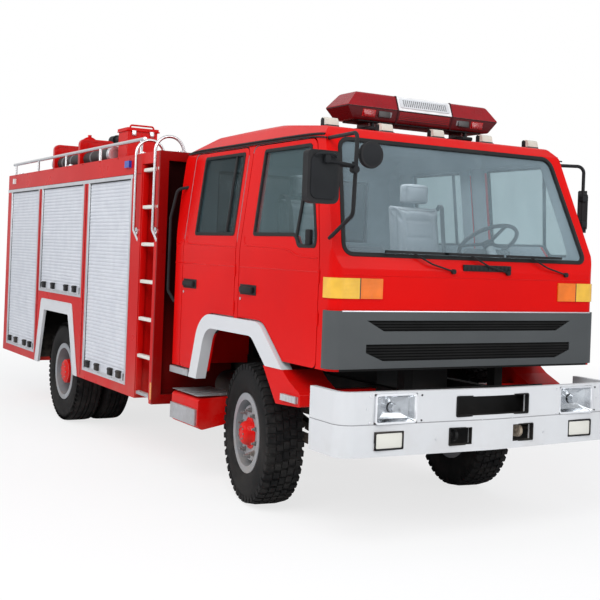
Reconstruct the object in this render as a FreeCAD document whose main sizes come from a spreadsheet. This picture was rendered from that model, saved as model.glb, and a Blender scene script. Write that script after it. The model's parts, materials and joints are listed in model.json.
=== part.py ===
import FreeCAD, Part
import math
import os
import Sketcher
from FreeCAD import Placement, Rotation, Vector

# Fire engine: crew cab, two axles, twin rear tyres, closed equipment body with roller shutters.
# Frame: +Z up, the nose faces -Y, +X is the vehicle's left, the origin is on the ground under the middle.
# Lengths are in millimetres. Places along the vehicle are counted from the front axle, + to the rear.

driving = {
    "wheelbase": 3950,
    "frontOverhang": 1470,
    "overallLength": 7770,
    "panelGap": 9,
    "overrun": 20,
    "seat": 0.3,
    "runningFit": 0.08,
    # Rounded edges
    "fineRadius": 6,
    "smallRadius": 15,
    "softRadius": 22,
    "edgeRadius": 30,
    "lipRadius": 45,
    "cornerRadius": 60,
    "shoulderRadius": 90,
    "eavesRadius": 120,
    "browRadius": 200,
    "flankRadius": 300,
    "roofCamber": 900,
    # Wheels and axles
    "tyreRadius": 514,
    "tyreWidth": 280,
    "tyreFacets": 36,
    "beadRadius": 254,
    "rimFlangeRadius": 292,
    "rimFlangeThick": 10,
    "rimWall": 12,
    "rimHalfWidth": 126,
    "discThick": 16,
    "frontTyreOffset": 929,
    "rearTyreOffset": 1060,
    "twinSpacing": 315,
    "frontDiscBulge": 92,
    "studCircleRadius": 167,
    "frontHubRadius": 88,
    "rearHubRadius": 132,
    "rearHubReach": 128,
    "frontSpindleRadius": 35,
    "rearSpindleRadius": 50,
    "kingpinOffset": 800,
    "kingpinRadius": 22,
    "kingpinBossRadius": 46,
    "kingpinBossHeight": 110,
    "yokeThick": 24,
    "steerAtRest": 8.6,
    "steerArmLength": 170,
    "trackRodRadius": 16,
    "beamHeight": 90,
    "beamDepth": 80,
    "axleTubeRadius": 66,
    "differentialRadius": 195,
    "springOffset": 405,
    "springWidth": 70,
    "springPack": 60,
    "frontSpringLength": 1240,
    "rearSpringLength": 1460,
    # Chassis frame
    "railOuter": 430,
    "railHeight": 240,
    "railWidth": 70,
    "railWall": 9,
    "railTop": 940,
    "railFront": 1370,
    "railRear": 5960,
    "crossmemberDepth": 120,
    "crossmemberHeight": 150,
    "subframeHeight": 80,
    "cabMountWidth": 80,
    "engineLength": 1180,
    "engineWidth": 640,
    "engineTop": 1215,
    "engineBottom": 565,
    "engineFront": 560,
    "gearboxLength": 560,
    "gearboxWidth": 420,
    "gearboxHeight": 430,
    "shaftRadius": 46,
    "tankLength": 520,
    "tankWidth": 270,
    "tankHeight": 400,
    "tankRear": 1270,
    "silencerRadius": 125,
    "silencerLength": 560,
    "tailPipeRadius": 38,
    # Cab
    "cabWidth": 2260,
    "cabNose": 1220,
    "cabRear": 1310,
    "cabWall": 60,
    "doorThick": 40,
    "doorLip": 18,
    "cabCornerRadius": 70,
    "cabSkirtRear": 890,
    "cabSkirtFront": 1110,
    "sillThick": 20,
    "floorTop": 1320,
    "floorThick": 30,
    "beltHeight": 1860,
    "eavesHeight": 2640,
    "eavesHalf": 1035,
    "roofHalf": 900,
    "roofHeight": 2785,
    "screenTopSetback": 900,
    "screenTopHeight": 2635,
    "screenFootHeight": 1840,
    "screenFootSetback": 1200,
    "glassThick": 6,
    "glassInset": 12,
    "screenHalfTop": 945,
    "screenHalfFoot": 1065,
    "screenCornerRadius": 70,
    "doorSplit": 90,
    "rearDoorFront": 165,
    "rearDoorRear": 1105,
    "frontDoorFront": 1030,
    "doorTop": 2620,
    "frontDoorTopFront": 800,
    "frontDoorBottom": 1110,
    "rearDoorBottom": 890,
    "windowSill": 1965,
    "windowTop": 2580,
    "quarterSill": 1890,
    "windowFrame": 60,
    "frontWindowSplit": 690,
    "handleProud": 24,
    "hingeRadius": 8,
    "hingePinRadius": 4.5,
    "hingeLength": 60,
    "hingeLug": 12,
    "hingeLow": 1430,
    "hingeHigh": 1700,
    "archTop": 1352,
    "archRimWidth": 108,
    "archRearTop": 700,
    "archRearFoot": 868,
    "archFrontTop": 285,
    "archFrontFoot": 640,
    "archRearFootHeight": 830,
    "archFrontFootHeight": 1058,
    "archRadius": 270,
    "archProud": 26,
    "grilleTop": 1494,
    "grilleBottom": 1125,
    "grilleProud": 16,
    "grilleReach": 95,
    "slotHalf": 880,
    "slotFootHalf": 745,
    "upperSlotTop": 1434,
    "upperSlotBottom": 1364,
    "lowerSlotTop": 1281,
    "lowerSlotBottom": 1172,
    "louvreThick": 7,
    "louvreDepth": 14,
    "cornerLampTop": 1702,
    "cornerLampBottom": 1572,
    "cornerLampInner": 762,
    "cornerLampReach": 115,
    "cornerLampProud": 9,
    # Cab interior
    "seatWidth": 500,
    "seatDepth": 480,
    "seatHeight": 400,
    "cushionThick": 130,
    "backThick": 120,
    "backHeight": 560,
    "frontSeatOffset": 520,
    "frontSeatBack": 60,
    "headrestWidth": 270,
    "headrestHeight": 170,
    "headrestGap": 18,
    "dashHalf": 1000,
    "dashDepth": 330,
    "dashTop": 1850,
    "dashBottom": 1520,
    "steeringOffset": 520,
    "steeringRadius": 225,
    "steeringRim": 15,
    "steeringHubRadius": 46,
    "steeringSetback": 730,
    "steeringHeight": 1975,
    "columnTilt": 35,
    "columnRadius": 30,
    "steeringShaftRadius": 12,
    "columnLength": 420,
    # Front bumper and lamps
    "bumperHalf": 1165,
    "bumperFace": 1440,
    "bumperWall": 40,
    "bumperCorner": 110,
    "bumperEnd": 1040,
    "bumperTop": 1005,
    "bumperBottom": 600,
    "bumperCrown": 30,
    "headlampOffset": 768,
    "headlampWidth": 320,
    "headlampHeight": 190,
    "headlampMiddle": 897,
    "fogLampOffset": 812,
    "fogLampWidth": 220,
    "fogLampHeight": 116,
    "fogLampMiddle": 698,
    "lampDepth": 75,
    "bezelWidth": 22,
    "airSlotHalf": 302,
    "airSlotTop": 957,
    "airSlotBottom": 832,
    "towSlotOffset": 264,
    "towSlotWidth": 180,
    "towSlotTop": 757,
    "towSlotBottom": 646,
    "towEyeRadius": 42,
    "towEyeBore": 18,
    "towEyeThick": 24,
    # Steps
    "stepBoxFront": 640,
    "stepBoxRear": 1150,
    "stepBoxTop": 700,
    "stepBoxBottom": 430,
    "stepOuter": 1165,
    "stepInner": 800,
    "treadThick": 22,
    "fenderOuter": 1150,
    "fenderInner": 845,
    "underDoorStepTop": 888,
    "underDoorStepHeight": 60,
    # Roof lamps, mirrors, wipers
    "lightBarHalf": 680,
    "lightBarDepth": 300,
    "lightBarMiddle": 450,
    "lightBarTop": 3010,
    "lightBarBottom": 2812,
    "lightBarFoot": 60,
    "markerLampSize": 95,
    "markerLampHeight": 52,
    "markerLampSetback": 735,
    "markerLampOuter": 900,
    "mirrorTubeRadius": 13,
    "mirrorWidth": 225,
    "mirrorHeight": 320,
    "mirrorThick": 60,
    "mirrorMiddle": 2310,
    "mirrorOuter": 1475,
    "mirrorForward": 1400,
    "mirrorArmHalf": 1125,
    "leftMirrorArm": 1300,
    "leftMirrorForward": 900,
    "leftMirrorTurn": 44,
    "roundMirrorRadius": 82,
    "wiperThick": 12,
    "wiperLength": 640,
    "wiperHeight": 1822,
    # Equipment body
    "bodyHalf": 1240,
    "bodyFront": 1404,
    "bodyRear": 6234,
    "bodyTop": 2666,
    "bodyBottom": 531,
    "bodyWall": 40,
    "frontFrameWidth": 80,
    "frontRecess": 60,
    "ladderFront": 1470,
    "ladderRear": 1800,
    "ladderRecess": 130,
    "ladderTop": 2570,
    "lockerFront": 2010,
    "tunnelHalf": 500,
    "tunnelWall": 25,
    "shutterTop": 2455,
    "shutterBottom": 640,
    "shutterOneFront": 2040,
    "shutterOneAhead": 760,
    "shutterTwoAhead": 600,
    "shutterTwoBehind": 820,
    "shutterTwoBottom": 1345,
    "shutterThreeBehind": 960,
    "shutterThreeRear": 6060,
    "shutterInset": 12,
    "shutterThick": 14,
    "rearShutterHalf": 800,
    "rearShutterBottom": 900,
    "trimWidth": 34,
    "trimProud": 4,
    "barHeight": 62,
    "wellAhead": 605,
    "wellBehind": 900,
    "wellTop": 1260,
    "wellWall": 18,
    "archFrameTop": 1240,
    "archFrameWidth": 112,
    "archFrameTopAhead": 350,
    "archFrameTopBehind": 705,
    "archFrameFootAhead": 590,
    "archFrameFootBehind": 885,
    "archFrameThick": 22,
    "archFrameProud": 6,
    "rungRadius": 17,
    "rungFirst": 585,
    "rungStep": 322,
    "rungCount": 7,
    "railTubeRadius": 17,
    "roofRailHeight": 135,
    "roofRailInset": 45,
    "hoopRadius": 125,
    "hoopStandOff": 34,
    "hoopFootHeight": 1995,
    "hoopTopInset": 225,
    # Roof equipment
    "roofBoxFront": 3085,
    "roofBoxRear": 3345,
    "roofBoxOuter": 900,
    "roofBoxWidth": 312,
    "roofBoxHeight": 369,
    "roofBoxWall": 20,
    "lidThick": 24,
    "lidHandleRadius": 9,
    "lidHandleHeight": 26,
    "hoseRadius": 75,
    "hoseLength": 1900,
    "hoseFront": 3420,
    "hoseOuter": 900,
    "hoseSpacing": 165,
    "bracketThick": 14,
    "bracketHeight": 330,
    "bracketWidth": 390,
    "monitorPlace": 5450,
    "monitorPipeRadius": 55,
    "monitorFlangeRadius": 105,
    "monitorFlangeThick": 18,
    "monitorPivotHeight": 3190,
    "monitorBarrelRadius": 42,
    "monitorBarrelLength": 520,
    "monitorNozzleRadius": 58,
    "monitorNozzleLength": 150,
    # Lamps and rear end
    "sideLampLength": 110,
    "sideLampHeight": 62,
    "sideLampThick": 26,
    "tailLampWidth": 120,
    "tailLampHeight": 330,
    "rearBarHeight": 130,
    "rearBarDepth": 60,
    "rearBarBottom": 560,
    "rearBarHalf": 1150,
}

doc = FreeCAD.newDocument("FireEngine")
sheet = doc.addObject("Spreadsheet::Sheet", "Sizes")
for row, (alias, number) in enumerate(driving.items(), 1):
    sheet.set(f"A{row}", alias)
    sheet.set(f"B{row}", str(number))
    sheet.setAlias(f"B{row}", alias)
doc.recompute()


class Size:
    # A length that knows both its value and the expression that gives it from the sheet.

    def __init__(self, text, value):
        self.text = text
        self.value = value

    def joined(self, sign, other, value, swapped=False):
        text = other.text if isinstance(other, Size) else repr(other)
        first, second = (text, self.text) if swapped else (self.text, text)
        return Size(f"({first} {sign} {second})", value)

    def __add__(self, other):
        return self.joined("+", other, self.value + float(other))

    def __radd__(self, other):
        return self.joined("+", other, float(other) + self.value, True)

    def __sub__(self, other):
        return self.joined("-", other, self.value - float(other))

    def __rsub__(self, other):
        return self.joined("-", other, float(other) - self.value, True)

    def __mul__(self, other):
        return self.joined("*", other, self.value * float(other))

    def __rmul__(self, other):
        return self.joined("*", other, float(other) * self.value, True)

    def __truediv__(self, other):
        return self.joined("/", other, self.value / float(other))

    def __neg__(self):
        return Size(f"(0 - {self.text})", -self.value)

    def __float__(self):
        return float(self.value)


class Sheet:
    # Reads a named cell as a Size.

    def __getattr__(self, alias):
        return Size(f"Sizes.{alias}", float(sheet.get(alias)))


s = Sheet()
nodes = []
zero = Size("0", 0.0)
frontAxle = s.frontOverhang - s.overallLength / 2
rearAxle = frontAxle + s.wheelbase


def along(place):
    # A place along the vehicle, counted from the front axle.
    return frontAxle + place


def ahead(place):
    return frontAxle - place


def sized(value):
    return value if isinstance(value, Size) else Size(repr(value), float(value))


def bind(thing, prop, size):
    thing.setExpression(prop, sized(size).text)


def put(thing, x, y, z):
    for letter, size in zip("xyz", (x, y, z)):
        bind(thing, f"Placement.Base.{letter}", size)


def node(label, thing):
    thing.Label = label
    nodes.append(thing)
    return thing


def block(name, x, y, z):
    # A box between its low and high faces.
    thing = doc.addObject("Part::Box", name)
    bind(thing, "Length", x[1] - x[0])
    bind(thing, "Width", y[1] - y[0])
    bind(thing, "Height", z[1] - z[0])
    put(thing, x[0], y[0], z[0])
    return thing


turns = {
    "x": Rotation(Vector(0, 1, 0), 90),
    "y": Rotation(Vector(1, 0, 0), -90),
    "z": Rotation(),
}


def rod(name, axis, radius, length, start):
    # A round bar that runs from its start towards + along an axis.
    thing = doc.addObject("Part::Cylinder", name)
    bind(thing, "Radius", radius)
    bind(thing, "Height", length)
    thing.Placement = Placement(Vector(), turns[axis])
    put(thing, *start)
    return thing


def boolean(kind, name, things):
    if kind == "Cut":
        base, *tools = things
        tool = tools[0] if len(tools) == 1 else boolean("MultiFuse", name + "Tools", tools)
        thing = doc.addObject("Part::Cut", name)
        thing.Base = base
        thing.Tool = tool
        return thing
    thing = doc.addObject(f"Part::{kind}", name)
    thing.Shapes = things
    return thing


def cut(name, *things):
    return boolean("Cut", name, things)


def fused(name, *things):
    return boolean("MultiFuse", name, things)


def common(name, *things):
    return boolean("MultiCommon", name, things)


def together(name, *things):
    thing = doc.addObject("Part::Compound", name)
    thing.Links = things
    return thing


def mirrored(name, source):
    # The same piece on the other side of the vehicle.
    thing = doc.addObject("Part::Mirroring", name)
    thing.Source = source
    thing.Base = Vector(0, 0, 0)
    thing.Normal = Vector(1, 0, 0)
    return thing


def pair(name, source):
    return together(name, source, mirrored(name + "Mirror", source))


def shaped(name, shape):
    thing = doc.addObject("Part::Feature", name)
    thing.Shape = shape
    return thing


def roundedWire(points, radii, closed=True):
    # Straight runs through the points, with a tangent arc of the given radius at each corner.
    count = len(points)
    edges = []
    starts = []
    for i, (point, radius) in enumerate(zip(points, radii)):
        end = not closed and i in (0, count - 1)
        radius = float(radius)
        if end or radius < 1e-6:
            starts.append((point, point, None))
            continue
        before = (points[i - 1] - point).normalize()
        after = (points[(i + 1) % count] - point).normalize()
        half = before.getAngle(after) / 2
        reach = radius / math.tan(half)
        middle = (before + after).normalize()
        crown = point + middle * (radius / math.sin(half) - radius)
        starts.append((point + before * reach, point + after * reach, crown))
    for i, (first, last, crown) in enumerate(starts):
        if crown is not None:
            edges.append(Part.Arc(first, crown, last).toShape())
        if i + 1 < count or closed:
            following = starts[(i + 1) % count][0]
            if last.distanceToPoint(following) > 1e-6:
                edges.append(Part.LineSegment(last, following).toShape())
    return Part.Wire(edges)


axes = {
    "x": lambda level, a, b: Vector(level, a, b),
    "y": lambda level, a, b: Vector(a, level, b),
    "z": lambda level, a, b: Vector(a, b, level),
}


def prism(name, axis, reach, corners, radii=None):
    # An outline in the plane square to an axis, drawn out along that axis between two levels.
    place = axes[axis]
    low, high = float(reach[0]), float(reach[1])
    points = [place(low, float(a), float(b)) for a, b in corners]
    wire = roundedWire(points, radii or [0] * len(points))
    return shaped(name, Part.Face(wire).extrude(place(high, 0, 0) - place(low, 0, 0)))


def turned(name, profile, radii=None):
    # A section of (place along X, radius) points, turned about the X axis.
    points = [Vector(float(a), float(b), 0) for a, b in profile]
    wire = roundedWire(points, radii or [0] * len(points))
    return Part.Face(wire).revolve(Vector(0, 0, 0), Vector(1, 0, 0), 360)


def pipe(name, radius, points, bends):
    # A round tube, drawn as a solid bar, through points with tangent bends.
    path = roundedWire([Vector(*map(float, point)) for point in points], bends, closed=False)
    first = path.OrderedEdges[0]
    start = first.valueAt(first.FirstParameter)
    ahead = first.tangentAt(first.FirstParameter)
    ring = Part.Wire(Part.makeCircle(float(radius), start, ahead))
    return shaped(name, path.makePipeShell([ring], True, False))


def sketched(name, plane, corners, depth, start):
    # A closed outline held by its distances from the origin, padded from a named plane of its own body.
    body = doc.addObject("PartDesign::Body", name)
    support = [f for f in body.Origin.OriginFeatures if f.Role == plane][0]
    sketch = body.newObject("Sketcher::SketchObject", name + "Outline")
    sketch.AttachmentSupport = (support, [""])
    sketch.MapMode = "FlatFace"
    count = len(corners)
    for i in range(count):
        here = [float(v) for v in corners[i]]
        there = [float(v) for v in corners[(i + 1) % count]]
        sketch.addGeometry(Part.LineSegment(Vector(*here, 0), Vector(*there, 0)), False)
    for i in range(count):
        sketch.addConstraint(Sketcher.Constraint("Coincident", i, 2, (i + 1) % count, 1))
    for i in range(count):
        for kind, size in zip(("DistanceX", "DistanceY"), corners[i]):
            index = sketch.addConstraint(Sketcher.Constraint(kind, -1, 1, i, 1, float(size)))
            sketch.setExpression(f"Constraints[{index}]", sized(size).text)
    pad = body.newObject("PartDesign::Pad", name + "Pad")
    pad.Profile = sketch
    bind(pad, "Length", depth)
    body.Tip = pad
    put(body, *start)
    return body


# The front wheels stand turned a little to the right. Their pieces are made about the wheel's centre.

steerTurn = "Sizes.steerAtRest"


def steered(thing, side, x, y, z, spin=False):
    # Puts a piece at a place that was worked out with the wheels straight, turned with its knuckle.
    kingpin = side * s.kingpinOffset
    away = x - kingpin
    bind(thing, "Placement.Base.x", Size(f"({kingpin.text} + {sized(away).text} * cos({steerTurn})"
                                         f" + {sized(y).text} * sin({steerTurn}))", 0))
    bind(thing, "Placement.Base.y", Size(f"({frontAxle.text} - {sized(away).text} * sin({steerTurn})"
                                         f" + {sized(y).text} * cos({steerTurn}))", 0))
    bind(thing, "Placement.Base.z", z)
    thing.Placement.Rotation = Rotation(Vector(0, 0, 1), 1)
    turn = f"-{steerTurn} + 180" if spin else f"-{steerTurn}"
    thing.setExpression("Placement.Rotation.Angle", turn)


# Tyres and rims, each made with its outer face towards +X and its middle at the origin.

def tyreShape():
    half = s.tyreWidth / 2
    inner = s.rimHalfWidth - s.rimFlangeThick - s.seat
    bead = s.beadRadius + s.seat
    tread = half * 0.86
    shoulder = s.tyreRadius * 0.9
    right = [(inner, bead), (inner, s.rimFlangeRadius), (half * 0.96, s.rimFlangeRadius * 1.1),
             (half, s.rimFlangeRadius * 1.3),
             (half * 0.97, shoulder), (tread, s.tyreRadius - s.fineRadius), (tread * 0.8, s.tyreRadius)]
    left = [(-x, r) for x, r in reversed(right)]
    # The ring has flat facets, each as wide as its chord, so that few faces make it.
    count = int(float(s.tyreFacets))
    widen = 1 / math.cos(math.pi / count)
    profile = [Vector(float(x), 0, -float(r) * widen) for x, r in right + left]
    wire = Part.makePolygon(profile + profile[:1])
    turn = 360 / count
    rings = []
    for i in range(count):
        ring = wire.copy()
        ring.rotate(Vector(), Vector(1, 0, 0), turn * (i + 1 / 2))
        rings.append(ring)
    return Part.makeLoft(rings, True, True, True)


def frontRimShape():
    wall, half = s.rimWall, s.rimHalfWidth
    barrel = s.beadRadius - wall
    hub = s.frontHubRadius
    discOuter = s.frontDiscBulge
    discInner = discOuter - s.discThick
    bore = s.frontSpindleRadius + s.runningFit
    section = [
        (half, s.rimFlangeRadius), (half - s.rimFlangeThick, s.rimFlangeRadius),
        (half - s.rimFlangeThick, s.beadRadius), (-half + s.rimFlangeThick, s.beadRadius),
        (-half + s.rimFlangeThick, s.rimFlangeRadius), (-half, s.rimFlangeRadius), (-half, barrel),
        (zero, barrel), (discInner, s.studCircleRadius + s.discThick * 2),
        (discInner, hub), (zero - s.discThick, hub), (zero - s.discThick, bore),
        (half - s.rimFlangeThick, bore), (half - s.rimFlangeThick, zero + hub * 0.02),
        (half + s.discThick * 2, zero + hub * 0.02), (half + s.discThick * 2, hub * 0.72),
        (discOuter + s.discThick, hub), (discOuter, hub), (discOuter, s.studCircleRadius + s.discThick * 2),
        (zero + s.discThick * 2, barrel), (half, barrel),
    ]
    return turned("rim", section)


def rearRimShape():
    # Both rims of a twin pair on one hub. The origin is the middle of the outer tyre.
    wall, half = s.rimWall, s.rimHalfWidth
    barrel = s.beadRadius - wall
    bore = s.rearSpindleRadius + s.runningFit
    middle = -s.twinSpacing / 2
    reach = s.rearHubReach

    def ring(centre, towards):
        lip = s.rimFlangeThick
        disc = middle + towards * s.discThick
        section = [
            (centre + half, s.rimFlangeRadius), (centre + half - lip, s.rimFlangeRadius),
            (centre + half - lip, s.beadRadius), (centre - half + lip, s.beadRadius),
            (centre - half + lip, s.rimFlangeRadius), (centre - half, s.rimFlangeRadius),
            (centre - half, barrel), (centre + half, barrel),
        ]
        plate = [(middle, bore), (middle, s.studCircleRadius + s.discThick * 2),
                 (centre - towards * half, barrel + wall / 2), (centre - towards * half, barrel - wall),
                 (disc, s.studCircleRadius + s.discThick * 2), (disc, bore)]
        web = [(middle, bore), (middle, s.rearHubRadius * 1.55),
               (centre - towards * half * 0.55, barrel + wall / 2),
               (centre - towards * half * 0.3, barrel + wall / 2), (disc, s.rearHubRadius * 1.55),
               (disc, bore)]
        return turned("ring", section).fuse(turned("web", web))

    hub = turned("hub", [(middle - s.discThick * 3, bore), (middle - s.discThick * 3, s.rearHubRadius),
                         (middle + s.discThick * 4, s.rearHubRadius),
                         (reach - s.discThick, s.rearHubRadius * 0.9),
                         (reach, s.rearHubRadius * 0.7), (reach, s.rearHubRadius * 0.01),
                         (reach - s.discThick * 2, s.rearHubRadius * 0.01), (reach - s.discThick * 2, bore)])
    return hub.fuse([ring(zero, 1), ring(-s.twinSpacing, -1)]).removeSplitter()


def handHoles(rim, radius, width, count, reach):
    # Oval hand holes round the disc, with their long way round the rim.
    holes = []
    for i in range(count):
        angle = 2 * math.pi * i / count
        for step in (-1, 0, 1):
            turn = angle + step * float(width) / float(radius) / 2
            place = Vector(-float(reach), float(radius) * math.cos(turn), float(radius) * math.sin(turn))
            holes.append(Part.makeCylinder(float(width) / 2, 2 * float(reach), place, Vector(1, 0, 0)))
    return rim.cut(holes)


tyre = tyreShape()
frontRim = handHoles(frontRimShape(), s.studCircleRadius + s.discThick * 3.2, s.discThick * 1.9, 10,
                     s.rimHalfWidth)
rearRim = rearRimShape()


def frontWheel(word, side):
    x = side * s.frontTyreOffset
    for label, shape in ((f"front_tyre_{word}", tyre), (f"front_rim_{word}", frontRim)):
        thing = node(label, shaped(label, shape))
        steered(thing, side, x, zero, s.tyreRadius, spin=side < 0)


def rearWheel(word, side):
    outer = side * s.rearTyreOffset
    pieces = []
    for name, x in (("Outer", outer), ("Inner", outer - side * s.twinSpacing)):
        piece = shaped(f"rearTyre{word}{name}", tyre)
        put(piece, x, rearAxle, s.tyreRadius)
        pieces.append(piece)
    node(f"rear_tyres_{word}", together(f"rear_tyres_{word}", *pieces))
    rim = node(f"rear_rims_{word}", shaped(f"rear_rims_{word}", rearRim))
    rim.Placement = Placement(Vector(), Rotation(Vector(0, 0, 1), 0 if side > 0 else 180))
    put(rim, outer, rearAxle, s.tyreRadius)


# Axles, knuckles and springs

def knuckle(word, side):
    # Kingpin, yoke and spindle, made about the kingpin with the outside of the vehicle towards +X.
    boss, thick = s.kingpinBossHeight, s.yokeThick
    outer = s.kingpinBossRadius + s.panelGap * 2
    half = boss / 2 + s.panelGap / 2
    pin = rod(f"kingpin{word}", "z", s.kingpinRadius, boss + thick * 2, (zero, zero, -half - thick / 2))
    top = block(f"yokeTop{word}", (-s.kingpinBossRadius, outer + thick),
                (-s.kingpinBossRadius, s.kingpinBossRadius),
                (half, half + thick))
    bottom = block(f"yokeBottom{word}", (-s.kingpinBossRadius, outer + thick),
                   (-s.kingpinBossRadius, s.kingpinBossRadius), (-half - thick, -half))
    face = block(f"yokeFace{word}", (outer, outer + thick), (-s.kingpinBossRadius, s.kingpinBossRadius),
                 (-half, half))
    reach = s.frontTyreOffset - s.kingpinOffset + s.rimHalfWidth - s.rimFlangeThick - s.panelGap
    spindle = rod(f"spindle{word}", "x", s.frontSpindleRadius, reach - outer, (outer, zero, zero))
    arm = block(f"steerArm{word}", (-thick, thick), (zero, s.steerArmLength + thick), (-half - thick, -half))
    bore = rod(f"steerArmBore{word}", "z", s.trackRodRadius / 2 + s.runningFit, thick * 4,
               (zero, s.steerArmLength, -half - thick * 2))
    whole = fused(f"knuckleWhole{word}", pin, top, bottom, face, spindle, arm)
    right = cut(f"knuckleShape{word}", whole, bore)
    if side < 0:
        right = mirrored(f"knuckleMirror{word}", right)
    carrier = together(f"knuckle_{word}", right)
    steered(carrier, side, side * s.kingpinOffset, zero, s.tyreRadius)
    return node(f"knuckle_{word}", carrier)


def trackRod():
    # Joins the two steering arms behind the axle, parallel to it at every lock.
    half, thick = s.kingpinBossHeight / 2 + s.panelGap / 2, s.yokeThick
    level = s.tyreRadius - half - thick - s.panelGap - s.trackRodRadius * 2
    bar = rod("trackBar", "x", s.trackRodRadius, s.kingpinOffset * 2, (zero, zero, zero))
    pieces = [bar]
    for name, x in (("Right", zero), ("Left", s.kingpinOffset * 2)):
        pieces.append(rod(f"rodEye{name}", "z", s.trackRodRadius * 1.5, s.trackRodRadius * 2.4,
                          (x, zero, -s.trackRodRadius * 1.2)))
        pieces.append(rod(f"ballPin{name}", "z", s.trackRodRadius / 2,
                          s.trackRodRadius * 2 + s.panelGap + thick,
                          (x, zero, zero)))
    whole = fused("track_rod", *pieces)
    x = f"(0 - {s.kingpinOffset.text} + {s.steerArmLength.text} * sin({steerTurn}))"
    y = f"({frontAxle.text} + {s.steerArmLength.text} * cos({steerTurn}))"
    whole.setExpression("Placement.Base.x", x)
    whole.setExpression("Placement.Base.y", y)
    bind(whole, "Placement.Base.z", level + s.trackRodRadius)
    return node("track_rod", whole)


def leafSpring(name, centre, length, seatTop):
    # A pack of leaves that bows down to its axle seat, with eyes that hang from the rail.
    pack, width = s.springPack, s.springWidth
    low = float(seatTop)
    railFoot = float(s.railTop - s.railHeight)
    half = float(length) / 2
    y = float(centre)
    leaves = 5
    eye = float(pack) / 2
    top = railFoot - eye
    each = float(pack) / leaves
    rise = top - low - float(pack) + each / 2
    pieces = []
    for i in range(leaves):
        share = 1 - 0.16 * i
        sweep = rise * share * share
        base = low + float(pack) - each * (i + 1)
        points = [Vector(0, y - half * share, base + sweep), Vector(0, y, base),
                  Vector(0, y + half * share, base + sweep)]
        lower = Part.Arc(*points).toShape()
        upperPoints = [p + Vector(0, 0, each) for p in points]
        upper = Part.Arc(*upperPoints).toShape()
        ends = [Part.LineSegment(points[0], upperPoints[0]).toShape(),
                Part.LineSegment(points[2], upperPoints[2]).toShape()]
        face = Part.Face(Part.Wire(Part.__sortEdges__([lower, ends[1], upper, ends[0]])))
        face.translate(Vector(float(s.springOffset - width / 2), 0, 0))
        pieces.append(face.extrude(Vector(float(width), 0, 0)))
    for towards in (-1, 1):
        place = Vector(float(s.springOffset - width / 2), y + towards * half,
                       low + float(pack) - each + rise + each / 2)
        pieces.append(Part.makeCylinder(eye * 0.8, float(width), place, Vector(1, 0, 0)))
        hanger = Part.makeBox(float(width) / 2, eye, railFoot - place.z,
                              Vector(float(s.springOffset - width / 4), place.y - eye / 2, place.z))
        pieces.append(hanger)
    clamp = float(s.yokeThick)
    saddle = Part.makeBox(float(width) + clamp, float(s.beamDepth), float(pack) * 1.3,
                          Vector(float(s.springOffset - width / 2) - clamp / 2, y - float(s.beamDepth) / 2,
                                 low))
    pieces.append(saddle)
    return shaped(name, pieces[0].fuse(pieces[1:]))


def frontAxleBeam():
    z = s.tyreRadius
    reach = s.kingpinOffset
    drop = s.beamHeight
    middle = z - drop
    half = s.beamDepth / 2
    corners = [
        (-reach, z - half), (-reach + s.kingpinBossRadius * 2, z - half),
        (-s.springOffset - s.springWidth, middle - half),
        (s.springOffset + s.springWidth, middle - half), (reach - s.kingpinBossRadius * 2, z - half),
        (reach, z - half),
        (reach, z + half), (reach - s.kingpinBossRadius * 2, z + half),
        (s.springOffset + s.springWidth, middle + half),
        (-s.springOffset - s.springWidth, middle + half), (-reach + s.kingpinBossRadius * 2, z + half),
        (-reach, z + half),
    ]
    beam = sketched("beam", "XZ_Plane", corners, s.beamDepth, (zero, frontAxle + half, zero))
    bosses = []
    bores = []
    for word, side in (("Right", -1), ("Left", 1)):
        x = side * reach
        bosses.append(rod(f"boss{word}", "z", s.kingpinBossRadius, s.kingpinBossHeight,
                          (x, frontAxle, z - s.kingpinBossHeight / 2)))
        bores.append(rod(f"bossBore{word}", "z", s.kingpinRadius + s.runningFit, s.kingpinBossHeight * 2,
                         (x, frontAxle, z - s.kingpinBossHeight)))
    solid = cut("frontBeam", fused("frontBeamWhole", beam, *bosses), *bores)
    spring = leafSpring("frontSpringLeft", frontAxle, s.frontSpringLength, middle + half)
    return node("front_axle", fused("front_axle", solid, spring, mirrored("frontSpringRight", spring)))


def rearAxleHousing():
    z = s.tyreRadius
    tube = rod("rearTube", "x", s.axleTubeRadius, s.rearTyreOffset * 2 - s.twinSpacing - s.discThick * 8,
               (-s.rearTyreOffset + s.twinSpacing / 2 + s.discThick * 4, rearAxle, z))
    spindles = rod("rearSpindles", "x", s.rearSpindleRadius, s.rearTyreOffset * 2,
                   (-s.rearTyreOffset, rearAxle, z))
    bowl = rod("differential", "y", s.differentialRadius, s.differentialRadius,
               (zero, rearAxle - s.differentialRadius / 2, z))
    nose = doc.addObject("Part::Cone", "pinionNose")
    bind(nose, "Radius1", s.differentialRadius * 0.8)
    bind(nose, "Radius2", s.shaftRadius * 1.5)
    bind(nose, "Height", s.differentialRadius)
    nose.Placement = Placement(Vector(), Rotation(Vector(1, 0, 0), 90))
    put(nose, zero, rearAxle - s.differentialRadius / 2, z)
    seatTop = z + s.axleTubeRadius
    seats = pair("springSeats", block("springSeat", (s.springOffset - s.springWidth / 2,
                                                     s.springOffset + s.springWidth / 2),
                                      (rearAxle - s.axleTubeRadius, rearAxle + s.axleTubeRadius),
                                      (z, seatTop)))
    spring = leafSpring("rearSpringLeft", rearAxle, s.rearSpringLength, seatTop)
    return node("rear_axle", fused("rear_axle", tube, spindles, bowl, nose, seats, spring,
                                   mirrored("rearSpringRight", spring)))


# Chassis frame, engine and what hangs on the rails

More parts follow.
